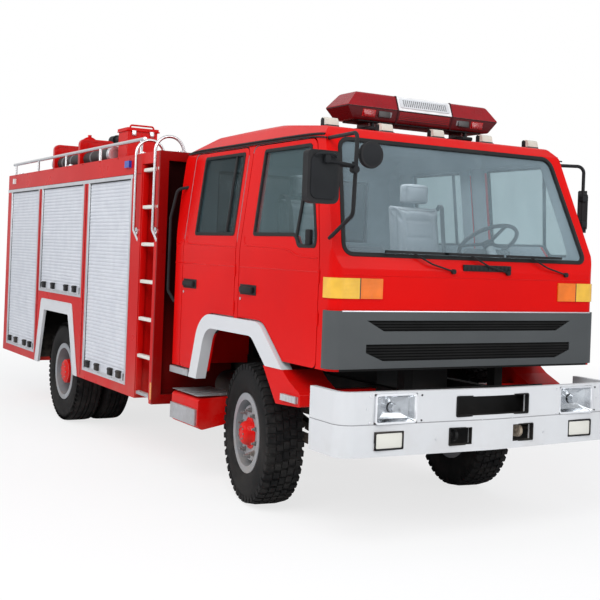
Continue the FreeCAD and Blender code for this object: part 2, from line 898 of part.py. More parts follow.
def chassisFrame():
    top, deep = s.railTop, s.railHeight
    corners = [
        (s.railOuter - s.railWidth, top - deep), (s.railOuter, top - deep), (s.railOuter, top),
        (s.railOuter - s.railWidth, top),
        (s.railOuter - s.railWidth, top - s.railWall), (s.railOuter - s.railWall, top - s.railWall),
        (s.railOuter - s.railWall, top - deep + s.railWall),
        (s.railOuter - s.railWidth, top - deep + s.railWall),
    ]
    rail = sketched("railLeft", "XZ_Plane", corners, s.railFront + s.railRear,
                    (zero, along(s.railRear), zero))
    pieces = [rail, mirrored("railRight", rail)]
    inner = s.railOuter - s.railWall
    bottom = top - deep + s.railWall
    placesShares = (-0.85, 0.43, 0.585, 0.76, 0.985)
    for i, share in enumerate(placesShares):
        span = s.railRear if share > 0 else s.railFront
        y = along(span * share)
        pieces.append(block(f"crossmember{i}", (-inner, inner),
                            (y - s.crossmemberDepth / 2, y + s.crossmemberDepth / 2),
                            (bottom, bottom + s.crossmemberHeight)))
    sub = block("subframeLeft", (s.railOuter - s.railWidth, s.railOuter),
                (along(s.bodyFront), along(s.railRear)), (top, top + s.subframeHeight))
    pieces += [sub, mirrored("subframeRight", sub)]
    under = s.floorTop - s.floorThick
    for name, y in (("Front", ahead(s.cabNose - s.cabMountWidth * 2.2)),
                    ("Rear", along(s.cabRear - s.cabMountWidth * 2))):
        mount = block(f"cabMount{name}", (s.railOuter - s.railWidth, s.railOuter), (y, y + s.cabMountWidth),
                      (top, under))
        pieces += [mount, mirrored(f"cabMountRight{name}", mount)]
    rearBar = block("rearBar", (-s.rearBarHalf, s.rearBarHalf),
                    (along(s.bodyRear) + s.panelGap, along(s.bodyRear) + s.panelGap + s.rearBarDepth),
                    (s.rearBarBottom, s.rearBarBottom + s.rearBarHeight))
    arm = block("rearBarArm", (s.railOuter - s.railWidth, s.railOuter - s.railWall),
                (along(s.railRear) - s.crossmemberDepth, along(s.bodyRear) + s.panelGap),
                (s.rearBarBottom, s.rearBarBottom + s.rearBarHeight))
    post = block("rearBarPost", (s.railOuter - s.railWidth, s.railOuter - s.railWall),
                 (along(s.railRear) - s.crossmemberDepth, along(s.railRear)),
                 (s.rearBarBottom, bottom + s.railWall))
    pieces += [rearBar, arm, mirrored("rearBarArmRight", arm), post, mirrored("rearBarPostRight", post)]
    return node("chassis_frame", fused("chassis_frame", *pieces))


def engine():
    half = s.engineWidth / 2
    body = block("engineBlock", (-half, half), (ahead(s.engineFront), ahead(s.engineFront - s.engineLength)),
                 (s.engineBottom, s.engineTop))
    rear = ahead(s.engineFront - s.engineLength)
    boxTop = s.engineBottom + s.gearboxHeight
    gearbox = block("gearbox", (-s.gearboxWidth / 2, s.gearboxWidth / 2), (rear, rear + s.gearboxLength),
                    (s.engineBottom, boxTop))
    lugs = []
    lugShares = (0.2, 0.8)
    for i, share in enumerate(lugShares):
        y = ahead(s.engineFront - s.engineLength * share)
        lug = block(f"engineLug{i}", (-s.railOuter + s.railWall, s.railOuter - s.railWall),
                    (y, y + s.crossmemberDepth / 2),
                    (s.railTop - s.railHeight / 2, s.railTop - s.railHeight / 3))
        lugs.append(lug)
    return node("engine_block", fused("engine_block", body, gearbox, *lugs))


def driveShaft():
    # Runs from the gearbox down to the rear axle's nose.
    start = Vector(0, float(ahead(s.engineFront - s.engineLength) + s.gearboxLength + s.seat),
                   float(s.engineBottom + s.gearboxHeight / 2))
    end = Vector(0, float(rearAxle - s.differentialRadius * 1.5 - s.seat), float(s.tyreRadius))
    line = end - start
    flange = float(s.shaftRadius) * 1.45
    width = float(s.shaftRadius) * 0.5
    low = Part.makeCylinder(flange, width, start, Vector(0, 1, 0))
    high = Part.makeCylinder(flange, width, end - Vector(0, width, 0), Vector(0, 1, 0))
    direction = Vector(line)
    direction.normalize()
    bar = Part.makeCylinder(float(s.shaftRadius), line.Length - width, start + direction * (width / 2),
                            direction)
    return node("drive_shaft", shaped("drive_shaft", bar.fuse([low, high])))


def fuelTank():
    # On the vehicle's left, behind the front wheel, strapped to the rail.
    inner = s.railOuter + s.cabMountWidth
    rear = along(s.tankRear)
    top = s.railTop - s.railHeight / 4
    tank = prism("tankBody", "y", (rear - s.tankLength, rear), [
        (inner, top - s.tankHeight), (inner + s.tankWidth, top - s.tankHeight),
        (inner + s.tankWidth, top), (inner, top)], [s.cabCornerRadius] * 4)
    pieces = [tank]
    strapShares = (0.15, 0.75)
    for i, share in enumerate(strapShares):
        y = rear - s.tankLength * share - s.railWidth
        pieces.append(block(f"tankStrap{i}", (s.railOuter, inner + s.tankWidth / 8), (y, y + s.railWidth),
                            (top - s.tankHeight / 2, top - s.tankHeight / 4)))
    return node("fuel_tank", fused("fuel_tank", *pieces))


def exhaust():
    # On the vehicle's right, behind the front wheel, with its tail pipe turned down behind the step.
    x = -s.railOuter - s.silencerRadius - s.cabMountWidth / 2
    rear = along(s.tankRear)
    z = s.railTop - s.railHeight
    can = rod("silencer", "y", s.silencerRadius, s.silencerLength, (x, rear - s.silencerLength, z))
    hanger = block("silencerHanger", (x, -s.railOuter),
                   (rear - s.silencerLength / 2, rear - s.silencerLength / 2 + s.railWidth),
                   (z, z + s.railWidth))
    tail = pipe("tailPipe", s.tailPipeRadius, [
        (x, rear - s.overrun, z), (x, rear + s.silencerRadius * 0.45, z),
        (x, rear + s.silencerRadius * 0.45, z - s.silencerRadius * 2.2)], [0, s.tailPipeRadius * 1.3, 0])
    return node("exhaust", fused("exhaust", can, hanger, tail))


# Cab. Its outer form is the meeting of a side view, a front view and a plan view, drawn in by a wall.

def cabForm(name, shrink, low, cornerShrink=True):
    shrink = sized(shrink)
    nose, rear = ahead(s.cabNose) + shrink, along(s.cabRear) - shrink
    top = s.roofHeight - shrink
    half = s.cabWidth / 2 - shrink
    past = s.overrun
    side = prism(name + "Side", "x", (-half - past, half + past), [
        (nose, low), (nose, s.screenFootHeight - s.screenCornerRadius),
        (ahead(s.screenFootSetback) + shrink, s.screenFootHeight),
        (ahead(s.screenTopSetback) + shrink, s.screenTopHeight),
        (ahead(s.screenTopSetback - s.screenCornerRadius) + shrink,
         s.screenTopHeight + s.screenCornerRadius - shrink),
        (ahead(zero), top), (along(s.cabRear * 0.7), top - s.screenCornerRadius * 0.4),
        (rear, s.eavesHeight - shrink), (rear, low)],
        [0, s.cornerRadius, s.edgeRadius, s.lipRadius, s.cornerRadius, s.roofCamber, s.browRadius,
         s.eavesRadius, 0])
    front = prism(name + "Front", "y", (nose - past, rear + past), [
        (-half, low), (half, low), (half, s.beltHeight), (s.eavesHalf - shrink, s.eavesHeight - shrink),
        (s.roofHalf - shrink, top), (-s.roofHalf + shrink, top),
        (-s.eavesHalf + shrink, s.eavesHeight - shrink),
        (-half, s.beltHeight)],
        [0, 0, s.flankRadius, s.shoulderRadius, s.eavesRadius, s.eavesRadius, s.shoulderRadius,
         s.flankRadius])
    tight = float(shrink + s.fineRadius) >= float(s.cabCornerRadius)
    radius = s.fineRadius if tight else s.cabCornerRadius - shrink
    plan = prism(name + "Plan", "z", (low - past, top + past), [
        (-half, nose), (half, nose), (half, rear), (-half, rear)], [radius] * 4)
    return common(name, side, front, plan)


def archOutline(name, reach, shrink):
    # The wheel arch: two splayed legs under a flat crown, drawn in by an amount.
    shrink = sized(shrink)
    top = s.archTop - shrink
    deep = s.archRearFootHeight - s.archRimWidth * 2
    rearSlope = (s.archRearFoot - s.archRearTop) / (s.archTop - s.archRearFootHeight)
    frontSlope = (s.archFrontFoot - s.archFrontTop) / (s.archTop - s.archFrontFootHeight)
    corners = [
        (ahead(s.archFrontTop - shrink), top), (along(s.archRearTop - shrink), top),
        (along(s.archRearTop - shrink + (top - deep) * float(rearSlope)), deep),
        (ahead(s.archFrontTop - shrink + (top - deep) * float(frontSlope)), deep),
    ]
    radius = s.archRadius - shrink
    return prism(name, "x", reach, corners, [radius * 0.7, radius, 0, 0])


def doorOutline(name, front, reach, grow):
    # The edge of a door in side view, drawn outwards by an amount.
    grow = sized(grow)
    top = s.doorTop + grow
    if front:
        corners = [
            (ahead(s.frontDoorFront) - grow, s.frontDoorBottom - grow),
            (along(s.doorSplit) + grow, s.frontDoorBottom - grow),
            (along(s.doorSplit) + grow, top), (ahead(s.frontDoorTopFront) - grow, top),
            (ahead(s.frontDoorFront) - grow, s.beltHeight)]
        radii = [s.lipRadius, 0, s.cornerRadius, s.shoulderRadius, s.browRadius]
    else:
        corners = [
            (along(s.rearDoorFront) - grow, s.rearDoorBottom - grow),
            (along(s.rearDoorRear) + grow, s.rearDoorBottom - grow),
            (along(s.rearDoorRear) + grow, top), (along(s.rearDoorFront) - grow, top)]
        radii = [0, s.lipRadius, s.cornerRadius, s.cornerRadius]
    return prism(name, "x", reach, corners, radii)


def windowOutline(name, front, reach, shrink):
    shrink = sized(shrink)
    frame = s.windowFrame * 2
    top = s.windowTop - shrink
    if front:
        split = ahead(s.frontWindowSplit)
        corners = [
            (along(s.doorSplit) - s.windowFrame * 3 - shrink, s.windowSill + shrink),
            (along(s.doorSplit) - s.windowFrame * 3 - shrink, top),
            (ahead(s.frontDoorTopFront - s.windowFrame) + shrink, top),
            (ahead(s.frontDoorFront - s.windowFrame) + shrink, s.quarterSill + s.windowFrame + shrink),
            (ahead(s.frontDoorFront - s.windowFrame) + shrink, s.quarterSill + shrink),
            (split - s.windowFrame, s.quarterSill + shrink), (split, s.windowSill + shrink)]
        small, large = s.softRadius, s.edgeRadius
        radii = [small, large, large, large, small, small, small]
    else:
        corners = [
            (along(s.rearDoorFront) + s.windowFrame + shrink, s.windowSill + shrink),
            (along(s.rearDoorFront) + s.windowFrame + shrink, top),
            (along(s.rearDoorRear) - s.windowFrame * 3.2 - shrink, top),
            (along(s.rearDoorRear) - s.windowFrame * 3.2 - shrink, s.windowSill + shrink)]
        radii = [s.softRadius] * 4
    return prism(name, "x", reach, corners, radii)


cabOuter = cabForm("cabOuter", 0, s.cabSkirtRear)
cabInner = cabForm("cabInner", s.cabWall, s.floorTop)
cabUnder = cabForm("cabUnder", s.cabWall + s.sillThick, s.cabSkirtRear - s.overrun)
doorRebate = cabForm("doorRebate", s.doorThick + s.panelGap, s.cabSkirtRear - s.overrun)
farSide = (-s.cabWidth, s.cabWidth)


def screenOutline(name, reach, shrink):
    shrink = sized(shrink)
    low, high = s.screenFootHeight + s.glassInset + shrink, s.screenTopHeight - s.glassInset * 2 - shrink
    foot, top = s.screenHalfFoot - shrink, s.screenHalfTop - shrink
    return prism(name, "y", reach, [(-foot, low), (foot, low), (top, high), (-top, high)],
                 [s.screenCornerRadius] * 4)


def cabShell():
    under = common("cabUnderSpace", cabUnder, block("belowFloor", farSide,
                                                    (ahead(s.cabNose * 2), along(s.cabRear * 2)),
                                                    (s.cabSkirtRear - s.overrun * 2,
                                                     s.floorTop - s.floorThick)))
    step = block("frontSkirtStep", farSide, (ahead(s.cabNose) - s.overrun, along(s.doorSplit)),
                 (s.cabSkirtRear - s.overrun, s.cabSkirtFront))
    railPass = block("railPass", (-s.railOuter - s.panelGap, s.railOuter + s.panelGap),
                     (along(s.cabRear) - s.cabWall * 2, along(s.cabRear) + s.overrun),
                     (s.cabSkirtRear - s.overrun * 2, s.railTop + s.panelGap * 2))
    tools = [cabInner, under, step, railPass]
    inside = s.cabWidth / 2 - s.cabWall
    aboveFloor = block("aboveFloor", farSide, (ahead(s.cabNose), along(s.cabRear)),
                       (s.floorTop, s.roofHeight))
    for word, side in (("Left", 1), ("Right", -1)):
        reach = (side * s.fenderInner, side * s.cabWidth)
        for front in (True, False):
            name = f"{'front' if front else 'rear'}{word}"
            tools.append(cut(f"{name}Rebate", doorOutline(f"{name}Edge", front, reach, s.panelGap),
                             doorRebate))
            entry = doorOutline(f"{name}Entry", front, reach, -s.doorLip)
            tools.append(common(f"{name}Opening", entry, aboveFloor))
        tools.append(archOutline(f"flareSeat{word}", (side * inside, side * s.cabWidth), -s.seat))
        tools.append(archOutline(f"archway{word}", reach, s.archRimWidth))
    tools.append(screenOutline("screenOpening", (ahead(s.cabNose * 1.2), ahead(s.screenTopSetback * 0.75)),
                               0))
    tools.append(block("rearWindowOpening", (-s.headlampOffset, s.headlampOffset),
                       (along(s.cabRear) - s.cabWall * 2, along(s.cabRear) + s.overrun),
                       (s.windowSill, s.windowTop - s.windowFrame)))
    for word, side in (("Left", 1), ("Right", -1)):
        tools.append(cornerLampBlock(f"lampPocket{word}", side, s.seat))
    pins = []
    for word, side in (("Left", 1), ("Right", -1)):
        for front in (True, False):
            some, pockets = hingePins(f"{'front' if front else 'rear'}Hinge{word}", front, side)
            pins += some
            tools += pockets
    return node("cab_shell", fused("cab_shell", cut("cabPanels", cabOuter, *tools), *pins))


def cornerLampBlock(name, side, grow):
    low, high = s.cornerLampInner - grow, s.cabWidth / 2 + s.overrun
    x = (low, high) if side > 0 else (-high, -low)
    y = ahead(s.cabNose) - s.overrun
    return block(name, x, (y, y + s.overrun + s.cornerLampReach + grow),
                 (s.cornerLampBottom - grow, s.cornerLampTop + grow))


def skin(name, outwards, inwards, low):
    # A layer that follows the cab's outside, between two depths below it.
    return cut(name, cabForm(name + "Outer", outwards, low),
               cabForm(name + "Inner", inwards, low - s.overrun))


doorInner = cabForm("doorInner", s.doorThick, s.cabSkirtRear - s.overrun)
glassBand = skin("glassBand", s.glassInset, s.glassInset + s.glassThick, s.dashBottom)


def hingeAxis(front, side):
    # The doors hang at their front edges, in the plane of the cab's skin.
    edge = ahead(s.frontDoorFront) if front else along(s.rearDoorFront)
    return side * s.cabWidth / 2, edge - s.panelGap


def hingePins(name, front, side):
    x, y = hingeAxis(front, side)
    half = s.hingeLength / 2
    pins = []
    pockets = []
    for i, z in enumerate((s.hingeLow, s.hingeHigh)):
        reach = half + s.panelGap / 2
        pins.append(rod(f"{name}Pin{i}", "z", s.hingePinRadius, reach * 2 + s.hingeLug * 2,
                        (x, y, z - reach - s.hingeLug)))
        for j, level in enumerate((z - reach - s.hingeLug, z + reach)):
            pins.append(rod(f"{name}Lug{i}{j}", "z", s.hingeRadius, s.hingeLug, (x, y, level)))
        pockets.append(rod(f"{name}Pocket{i}", "z", s.hingeRadius + s.panelGap * 0.6, reach * 2,
                           (x, y, z - reach)))
    return pins, pockets


def hingeSleeves(name, front, side):
    x, y = hingeAxis(front, side)
    half = s.hingeLength / 2
    thick = s.hingePinRadius
    sleeves = []
    for i, z in enumerate((s.hingeLow, s.hingeHigh)):
        sleeve = rod(f"{name}Sleeve{i}", "z", s.hingeRadius, s.hingeLength, (x, y, z - half))
        reach = (x - thick, x) if side > 0 else (x, x + thick)
        leaf = block(f"{name}Leaf{i}", reach, (y, y + s.panelGap * 2), (z - half, z + half))
        bore = rod(f"{name}Bore{i}", "z", s.hingePinRadius + s.runningFit, s.hingeLength * 2,
                   (x, y, z - s.hingeLength))
        sleeves.append(cut(f"{name}Hinge{i}", fused(f"{name}HingeWhole{i}", sleeve, leaf), bore))
    return sleeves


def doors():
    for word, side in (("left", 1), ("right", -1)):
        reach = (side * s.fenderInner, side * s.cabWidth)
        arch = archOutline(f"archClear{word}", reach, -s.panelGap)
        for place, front in (("front", True), ("rear", False)):
            name = f"door_{place}_{word}"
            panel = common(name + "Panel", cabOuter, doorOutline(name + "Edge", front, reach, 0))
            window = windowOutline(name + "Window", front, reach, 0)
            body = cut(name + "Body", panel, doorInner, window, arch)
            node(name, fused(name, body, doorHandle(name, front, side), *hingeSleeves(name, front, side)))
            pane = common(f"glass_{place}_{word}", glassBand,
                          windowOutline(name + "Glass", front, reach, s.seat))
            node(f"glass_{place}_{word}", pane)


def doorHandle(name, front, side):
    # A pull handle near the door's rear edge.
    edge = along(s.doorSplit) if front else along(s.rearDoorRear)
    y = edge - s.windowFrame
    z = s.grilleTop + s.windowFrame
    face = s.cabWidth / 2
    reach = (face - s.overrun, face + s.handleProud)
    if side < 0:
        reach = (-reach[1], -reach[0])
    return block(name + "Grip", reach, (y - s.windowFrame * 3, y), (z, z + s.windowFrame / 2))


def cabGlass():
    screen = common("windscreen", glassBand,
                    screenOutline("screenEdge", (ahead(s.cabNose * 1.2), ahead(s.screenTopSetback * 0.75)),
                                  s.seat))
    rear = along(s.cabRear) - s.cabWall / 2
    back = block("rearPane", (-s.headlampOffset + s.seat, s.headlampOffset - s.seat),
                 (rear, rear + s.glassThick), (s.windowSill + s.seat, s.windowTop - s.windowFrame - s.seat))
    return node("cab_glass", together("cab_glass", screen, back))


def frontPanel():
    # The grey panel follows the cab's nose round both corners and carries two louvred slots.
    low = s.grilleBottom - s.overrun
    band = skin("panelBand", -s.grilleProud, zero, low)
    strip = block("panelStrip", farSide, (ahead(s.cabNose * 1.2), ahead(s.cabNose - s.grilleReach)),
                  (s.grilleBottom, s.grilleTop))
    panel = common("panelWhole", band, strip)
    reach = (ahead(s.cabNose) - s.overrun, ahead(s.cabNose))
    half, foot = s.slotHalf, s.slotFootHalf
    slots = []
    lower = s.lowerSlotBottom + (s.lowerSlotTop - s.lowerSlotBottom) / 2
    slots.append(prism("upperSlot", "y", reach, [(-foot, s.upperSlotBottom), (foot, s.upperSlotBottom),
                                                 (half, s.upperSlotTop), (-half, s.upperSlotTop)]))
    slots.append(prism("lowerSlot", "y", reach, [(-foot, s.lowerSlotBottom), (foot, s.lowerSlotBottom),
                                                 (half, lower),
                                                 (half, s.lowerSlotTop), (-half, s.lowerSlotTop),
                                                 (-half, lower)]))
    louvres = []
    for name, bottom, top, count in (("Upper", s.upperSlotBottom, s.upperSlotTop, 3),
                                     ("Lower", s.lowerSlotBottom, s.lowerSlotTop, 5)):
        pitch = (top - bottom) / (count + 1)
        for i in range(count):
            z = bottom + pitch * (i + 1)
            wide = half - s.overrun if float(z) > float(lower) or name == "Upper" else foot
            if name == "Upper":
                wide = foot + (half - foot) * (float(z - bottom) / float(top - bottom)) + s.louvreThick
            elif float(z) < float(lower):
                wide = foot + (half - foot) * (float(z - bottom) / float(lower - bottom)) + s.louvreThick
            else:
                wide = half + s.louvreThick
            louvres.append(block(f"louvre{name}{i}", (-wide, wide), (ahead(s.cabNose) - s.louvreDepth,
                                                                     ahead(s.cabNose)),
                                 (z - s.louvreThick / 2, z + s.louvreThick / 2)))
    return node("front_panel", fused("front_panel", cut("panelSlotted", panel, *slots), *louvres))


def cornerLamps():
    form = cabForm("lampForm", -s.cornerLampProud, s.grilleTop - s.overrun)
    behind = s.doorThick
    lamps = []
    for word, side in (("Left", 1), ("Right", -1)):
        whole = common(f"cornerLampWhole{word}", form, cornerLampBlock(f"cornerLampBlock{word}", side, zero))
        reach = s.cabWidth / 2 - behind
        room = block(f"lampRoom{word}", (zero, reach) if side > 0 else (-reach, zero),
                     (ahead(s.cabNose) + behind, ahead(zero)), (s.grilleTop, s.beltHeight))
        lamps.append(cut(f"cornerLamp{word}", whole, room))
    return node("corner_lamps", together("corner_lamps", *lamps))


def archTrims():
    # White rims round the front wheel arches and frames round the rear ones.
    pieces = []
    seatFace = s.cabWidth / 2 - s.cabWall
    for word, side in (("Left", 1), ("Right", -1)):
        reach = (side * seatFace, side * (s.cabWidth / 2 + s.archProud))
        ring = cut(f"flareRing{word}", archOutline(f"flareOuter{word}", reach, 0),
                   archOutline(f"flareInner{word}", reach, s.archRimWidth))
        feet = prism(f"flareFeet{word}", "x", reach, [
            (ahead(s.archFrontFoot * 2), s.archFrontFootHeight), (ahead(zero), s.archFrontFootHeight),
            (ahead(zero), s.archRearFootHeight), (along(s.archRearFoot * 2), s.archRearFootHeight),
            (along(s.archRearFoot * 2), s.archRearFootHeight - s.archTop),
            (ahead(s.archFrontFoot * 2), s.archRearFootHeight - s.archTop)])
        pieces.append(cut(f"flare{word}", ring, feet))
        outer, inner = s.bodyHalf + s.archFrameProud, s.bodyHalf - s.archFrameThick
        span = (side * inner, side * outer)
        pieces.append(cut(f"archFrame{word}", rearArch(f"archFrameOuter{word}", span, zero, zero),
                          rearArch(f"archFrameInner{word}", span, s.archFrameWidth, s.overrun)))
    return node("wheel_arch_trims", together("wheel_arch_trims", *pieces))


def rearArch(name, reach, shrink, extra):
    # A trapezoid with its wide end at the body's skirt.
    low = s.bodyBottom - extra
    foot = shrink * 0.95
    rise = float(s.archFrameTop - s.bodyBottom)
    frontLean = extra * (float(s.archFrameFootAhead - s.archFrameTopAhead) / rise)
    rearLean = extra * (float(s.archFrameFootBehind - s.archFrameTopBehind) / rise)
    corners = [
        (rearAxle - s.archFrameFootAhead + foot - frontLean, low),
        (rearAxle - s.archFrameTopAhead + shrink, s.archFrameTop - shrink),
        (rearAxle + s.archFrameTopBehind - shrink, s.archFrameTop - shrink),
        (rearAxle + s.archFrameFootBehind - foot + rearLean, low)]
    bend = s.lipRadius if float(shrink) > 0 else s.fineRadius
    return prism(name, "x", reach, corners, [0, bend, bend, 0])


# Steps, bumper and lamps

def fenderOutline():
    return [(ahead(s.archFrontTop + s.archRimWidth * 0.75), s.archFrontFootHeight - s.seat),
            (ahead(s.archFrontFoot), s.archFrontFootHeight - s.seat),
            (ahead(s.archFrontFoot + s.archRimWidth * 0.9), s.archFrontFootHeight - s.treadThick * 3),
            (ahead(s.archFrontFoot + s.archRimWidth * 2.3), s.archFrontFootHeight - s.treadThick * 6),
            (ahead(s.archFrontFoot + s.archRimWidth * 2.3), s.archRearFootHeight + s.panelGap),
            (ahead(s.archFrontFoot - s.archRimWidth * 0.7), s.archRearFootHeight - s.panelGap)]


def cabSteps():
    # Red fenders with a step ahead of the wheels, and step boxes behind them, carried from the rails.
    fender = prism("fender", "x", (s.fenderInner, s.fenderOuter), fenderOutline(),
                   [0, s.smallRadius, s.edgeRadius, s.softRadius, s.smallRadius, s.smallRadius])
    y = ahead(s.archFrontFoot)
    arm = block("fenderArm", (s.railOuter, s.fenderInner + s.overrun), (y - s.railWidth, y),
                (s.archRearFootHeight + s.panelGap * 2, s.archRearFootHeight + s.panelGap * 2 + s.railWidth))
    box = prism("stepBox", "y", (along(s.stepBoxFront), along(s.stepBoxRear)), [
        (s.stepInner, s.stepBoxBottom + s.treadThick * 3), (s.stepOuter, s.stepBoxBottom),
        (s.stepOuter, s.stepBoxTop - s.treadThick), (s.stepInner, s.stepBoxTop)],
        [s.softRadius, s.lipRadius, s.edgeRadius, s.softRadius])
    x = s.railOuter
    armSpan = (along(s.stepBoxFront), along(s.stepBoxFront) + s.railWidth * 0.8)
    armTop = s.railTop - s.railHeight + s.treadThick
    boxArm = block("stepBoxArm", (x, s.stepInner + s.overrun), armSpan, (s.railTop - s.railHeight, armTop))
    boxDrop = block("stepBoxDrop", (s.stepInner, s.stepInner + s.overrun), armSpan,
                    (s.stepBoxTop - s.railWidth, armTop))
    front = fused("fenderLeft", fender, arm)
    rear = fused("stepBoxLeft", box, boxArm, boxDrop)
    return node("cab_steps", together("cab_steps", front, mirrored("fenderRight", front), rear,
                                      mirrored("stepBoxRight", rear)))


def stepTreads():
    # Bright metal treads on the fender steps, under the rear doors and on the step boxes.
    outer = s.fenderOuter
    foot = ahead(s.archFrontFoot + s.archRimWidth * 2.1)
    z = s.archFrontFootHeight - s.treadThick * 6
    fenderTread = block("fenderTread", (outer, outer + s.treadThick), (foot, foot + s.archRimWidth * 1.9),
                        (z - s.treadThick * 3, z - s.treadThick))
    under = s.cabSkirtRear
    web = s.cabWidth / 2 - s.cabWall
    span = (along(s.archRearFoot) + s.overrun, along(s.cabRear) - s.cabCornerRadius)
    doorTread = fused("doorTread", block("doorTreadPlate",
                                         (web - s.sillThick, s.cabWidth / 2 + s.archProud), span,
                                         (under - s.underDoorStepHeight, under - s.panelGap)),
                      block("doorTreadWeb", (web - s.sillThick, web), span,
                            (under - s.underDoorStepHeight, under)))
    boxTread = block("boxTread", (s.stepOuter, s.stepOuter + s.treadThick),
                     (along(s.stepBoxFront) + s.overrun, along(s.stepBoxRear) - s.overrun),
                     (s.stepBoxBottom + s.overrun * 2, s.stepBoxBottom + s.overrun * 2 + s.railWidth * 1.8))
    pieces = []
    for tread in (fenderTread, doorTread, boxTread):
        pieces += [tread, mirrored(tread.Name + "Right", tread)]
    return node("step_treads", together("step_treads", *pieces))


def lampPlace(offset, width, middle, height, grow):
    return ((offset - width / 2 - grow, offset + width / 2 + grow),
            (middle - height / 2 - grow, middle + height / 2 + grow))


def bumper():
    # A white wrap-round bumper with pockets for the lamps and slots for air and towing.
    half, face, wall = s.bumperHalf, ahead(s.bumperFace), s.bumperWall
    end = ahead(s.bumperEnd)
    rise = (s.bumperBottom, s.bumperTop)
    crown = s.bumperCrown
    outer = prism("bumperOuter", "z", rise, [
        (-half, end), (-half, face + crown), (zero, face - crown), (half, face + crown), (half, end)],
        [0, s.bumperCorner, s.bumperHalf * 1.5, s.bumperCorner, 0])
    inner = prism("bumperInner", "z", (rise[0] - s.overrun, rise[1] + s.overrun), [
        (-half + wall, end + s.overrun), (-half + wall, face + crown + wall), (zero, face - crown + wall),
        (half - wall, face + crown + wall), (half - wall, end + s.overrun)],
        [0, s.bumperCorner - wall, s.bumperHalf * 1.5, s.bumperCorner - wall, 0])
    reach = (face - s.overrun * 3, face + wall * 4)
    tools = [inner, block("airSlot", (-s.airSlotHalf, s.airSlotHalf), reach, (s.airSlotBottom, s.airSlotTop))]
    for name, sizes in (("head", (s.headlampOffset, s.headlampWidth, s.headlampMiddle, s.headlampHeight)),
                        ("fog", (s.fogLampOffset, s.fogLampWidth, s.fogLampMiddle, s.fogLampHeight))):
        x, z = lampPlace(*sizes, s.seat)
        hole = block(f"{name}Pocket", x, reach, z)
        tools += [hole, mirrored(f"{name}PocketRight", hole)]
    tow = block("towSlot", (s.towSlotOffset - s.towSlotWidth / 2, s.towSlotOffset + s.towSlotWidth / 2),
                reach,
                (s.towSlotBottom, s.towSlotTop))
    tools += [tow, mirrored("towSlotRight", tow)]
    shell = cut("bumperShell", outer, *tools)
    bracket = block("bumperBracket", (s.railOuter - s.railWidth, s.railOuter),
                    (face + crown / 2, ahead(s.railFront)),
                    (s.railTop - s.railHeight / 2, s.railTop))
    plate = common("bracketTrim", bracket, block("bracketReach", farSide,
                                                 (face + wall / 2, ahead(s.railFront) + s.overrun),
                                                 (s.bumperBottom, s.bumperTop)))
    return node("bumper", fused("bumper", shell, plate, mirrored("bumperBracketRight", plate)))


def frontLamps():
    # Head lamps and fog lamps, each a housing behind its lens that fills a pocket in the bumper.
    face = ahead(s.bumperFace)
    pieces = []
    for name, sizes in (("head", (s.headlampOffset, s.headlampWidth, s.headlampMiddle, s.headlampHeight)),
                        ("fog", (s.fogLampOffset, s.fogLampWidth, s.fogLampMiddle, s.fogLampHeight))):
        x, z = lampPlace(*sizes, zero)
        front = face + s.panelGap if name == "head" else face + s.panelGap * 1.5
        body = block(f"{name}Body", x, (front, front + s.lampDepth), z)
        bezel = s.bezelWidth
        dish = block(f"{name}Dish", (x[0] + bezel, x[1] - bezel), (front - s.overrun, front + s.panelGap * 2),
                     (z[0] + bezel, z[1] - bezel))
        lamp = cut(f"{name}Lamp", body, dish)
        pieces += [lamp, mirrored(f"{name}LampRight", lamp)]
    return node("front_lamps", together("front_lamps", *pieces))


def towEyes():
    # A plate with an eye behind each tow slot, carried on the rail's front end.
    x = s.towSlotOffset
    z = (s.towSlotTop + s.towSlotBottom) / 2
    tip = ahead(s.bumperFace) + s.panelGap
    reach = s.towEyeRadius
    eye = rod("towEye", "x", s.towEyeRadius, s.towEyeThick, (x, tip + reach, z))
    shank = block("towShank", (x, x + s.towEyeThick),
                  (tip + reach, ahead(s.railFront) + s.crossmemberDepth), (z - reach, z + reach))
    foot = block("towFoot", (x, s.railOuter - s.railWidth), (ahead(s.railFront) + s.railWidth,
                                                             ahead(s.railFront) + s.crossmemberDepth),
                 (z - reach, z + reach + s.railWall * 2))
    bore = rod("towBore", "x", s.towEyeBore, s.towEyeThick * 3, (x - s.towEyeThick, tip + reach, z))
    eyes = cut("towEyeLeft", fused("towEyeWhole", eye, shank, foot), bore)
    return node("tow_eyes", together("tow_eyes", eyes, mirrored("towEyeRight", eyes)))


# Cab interior

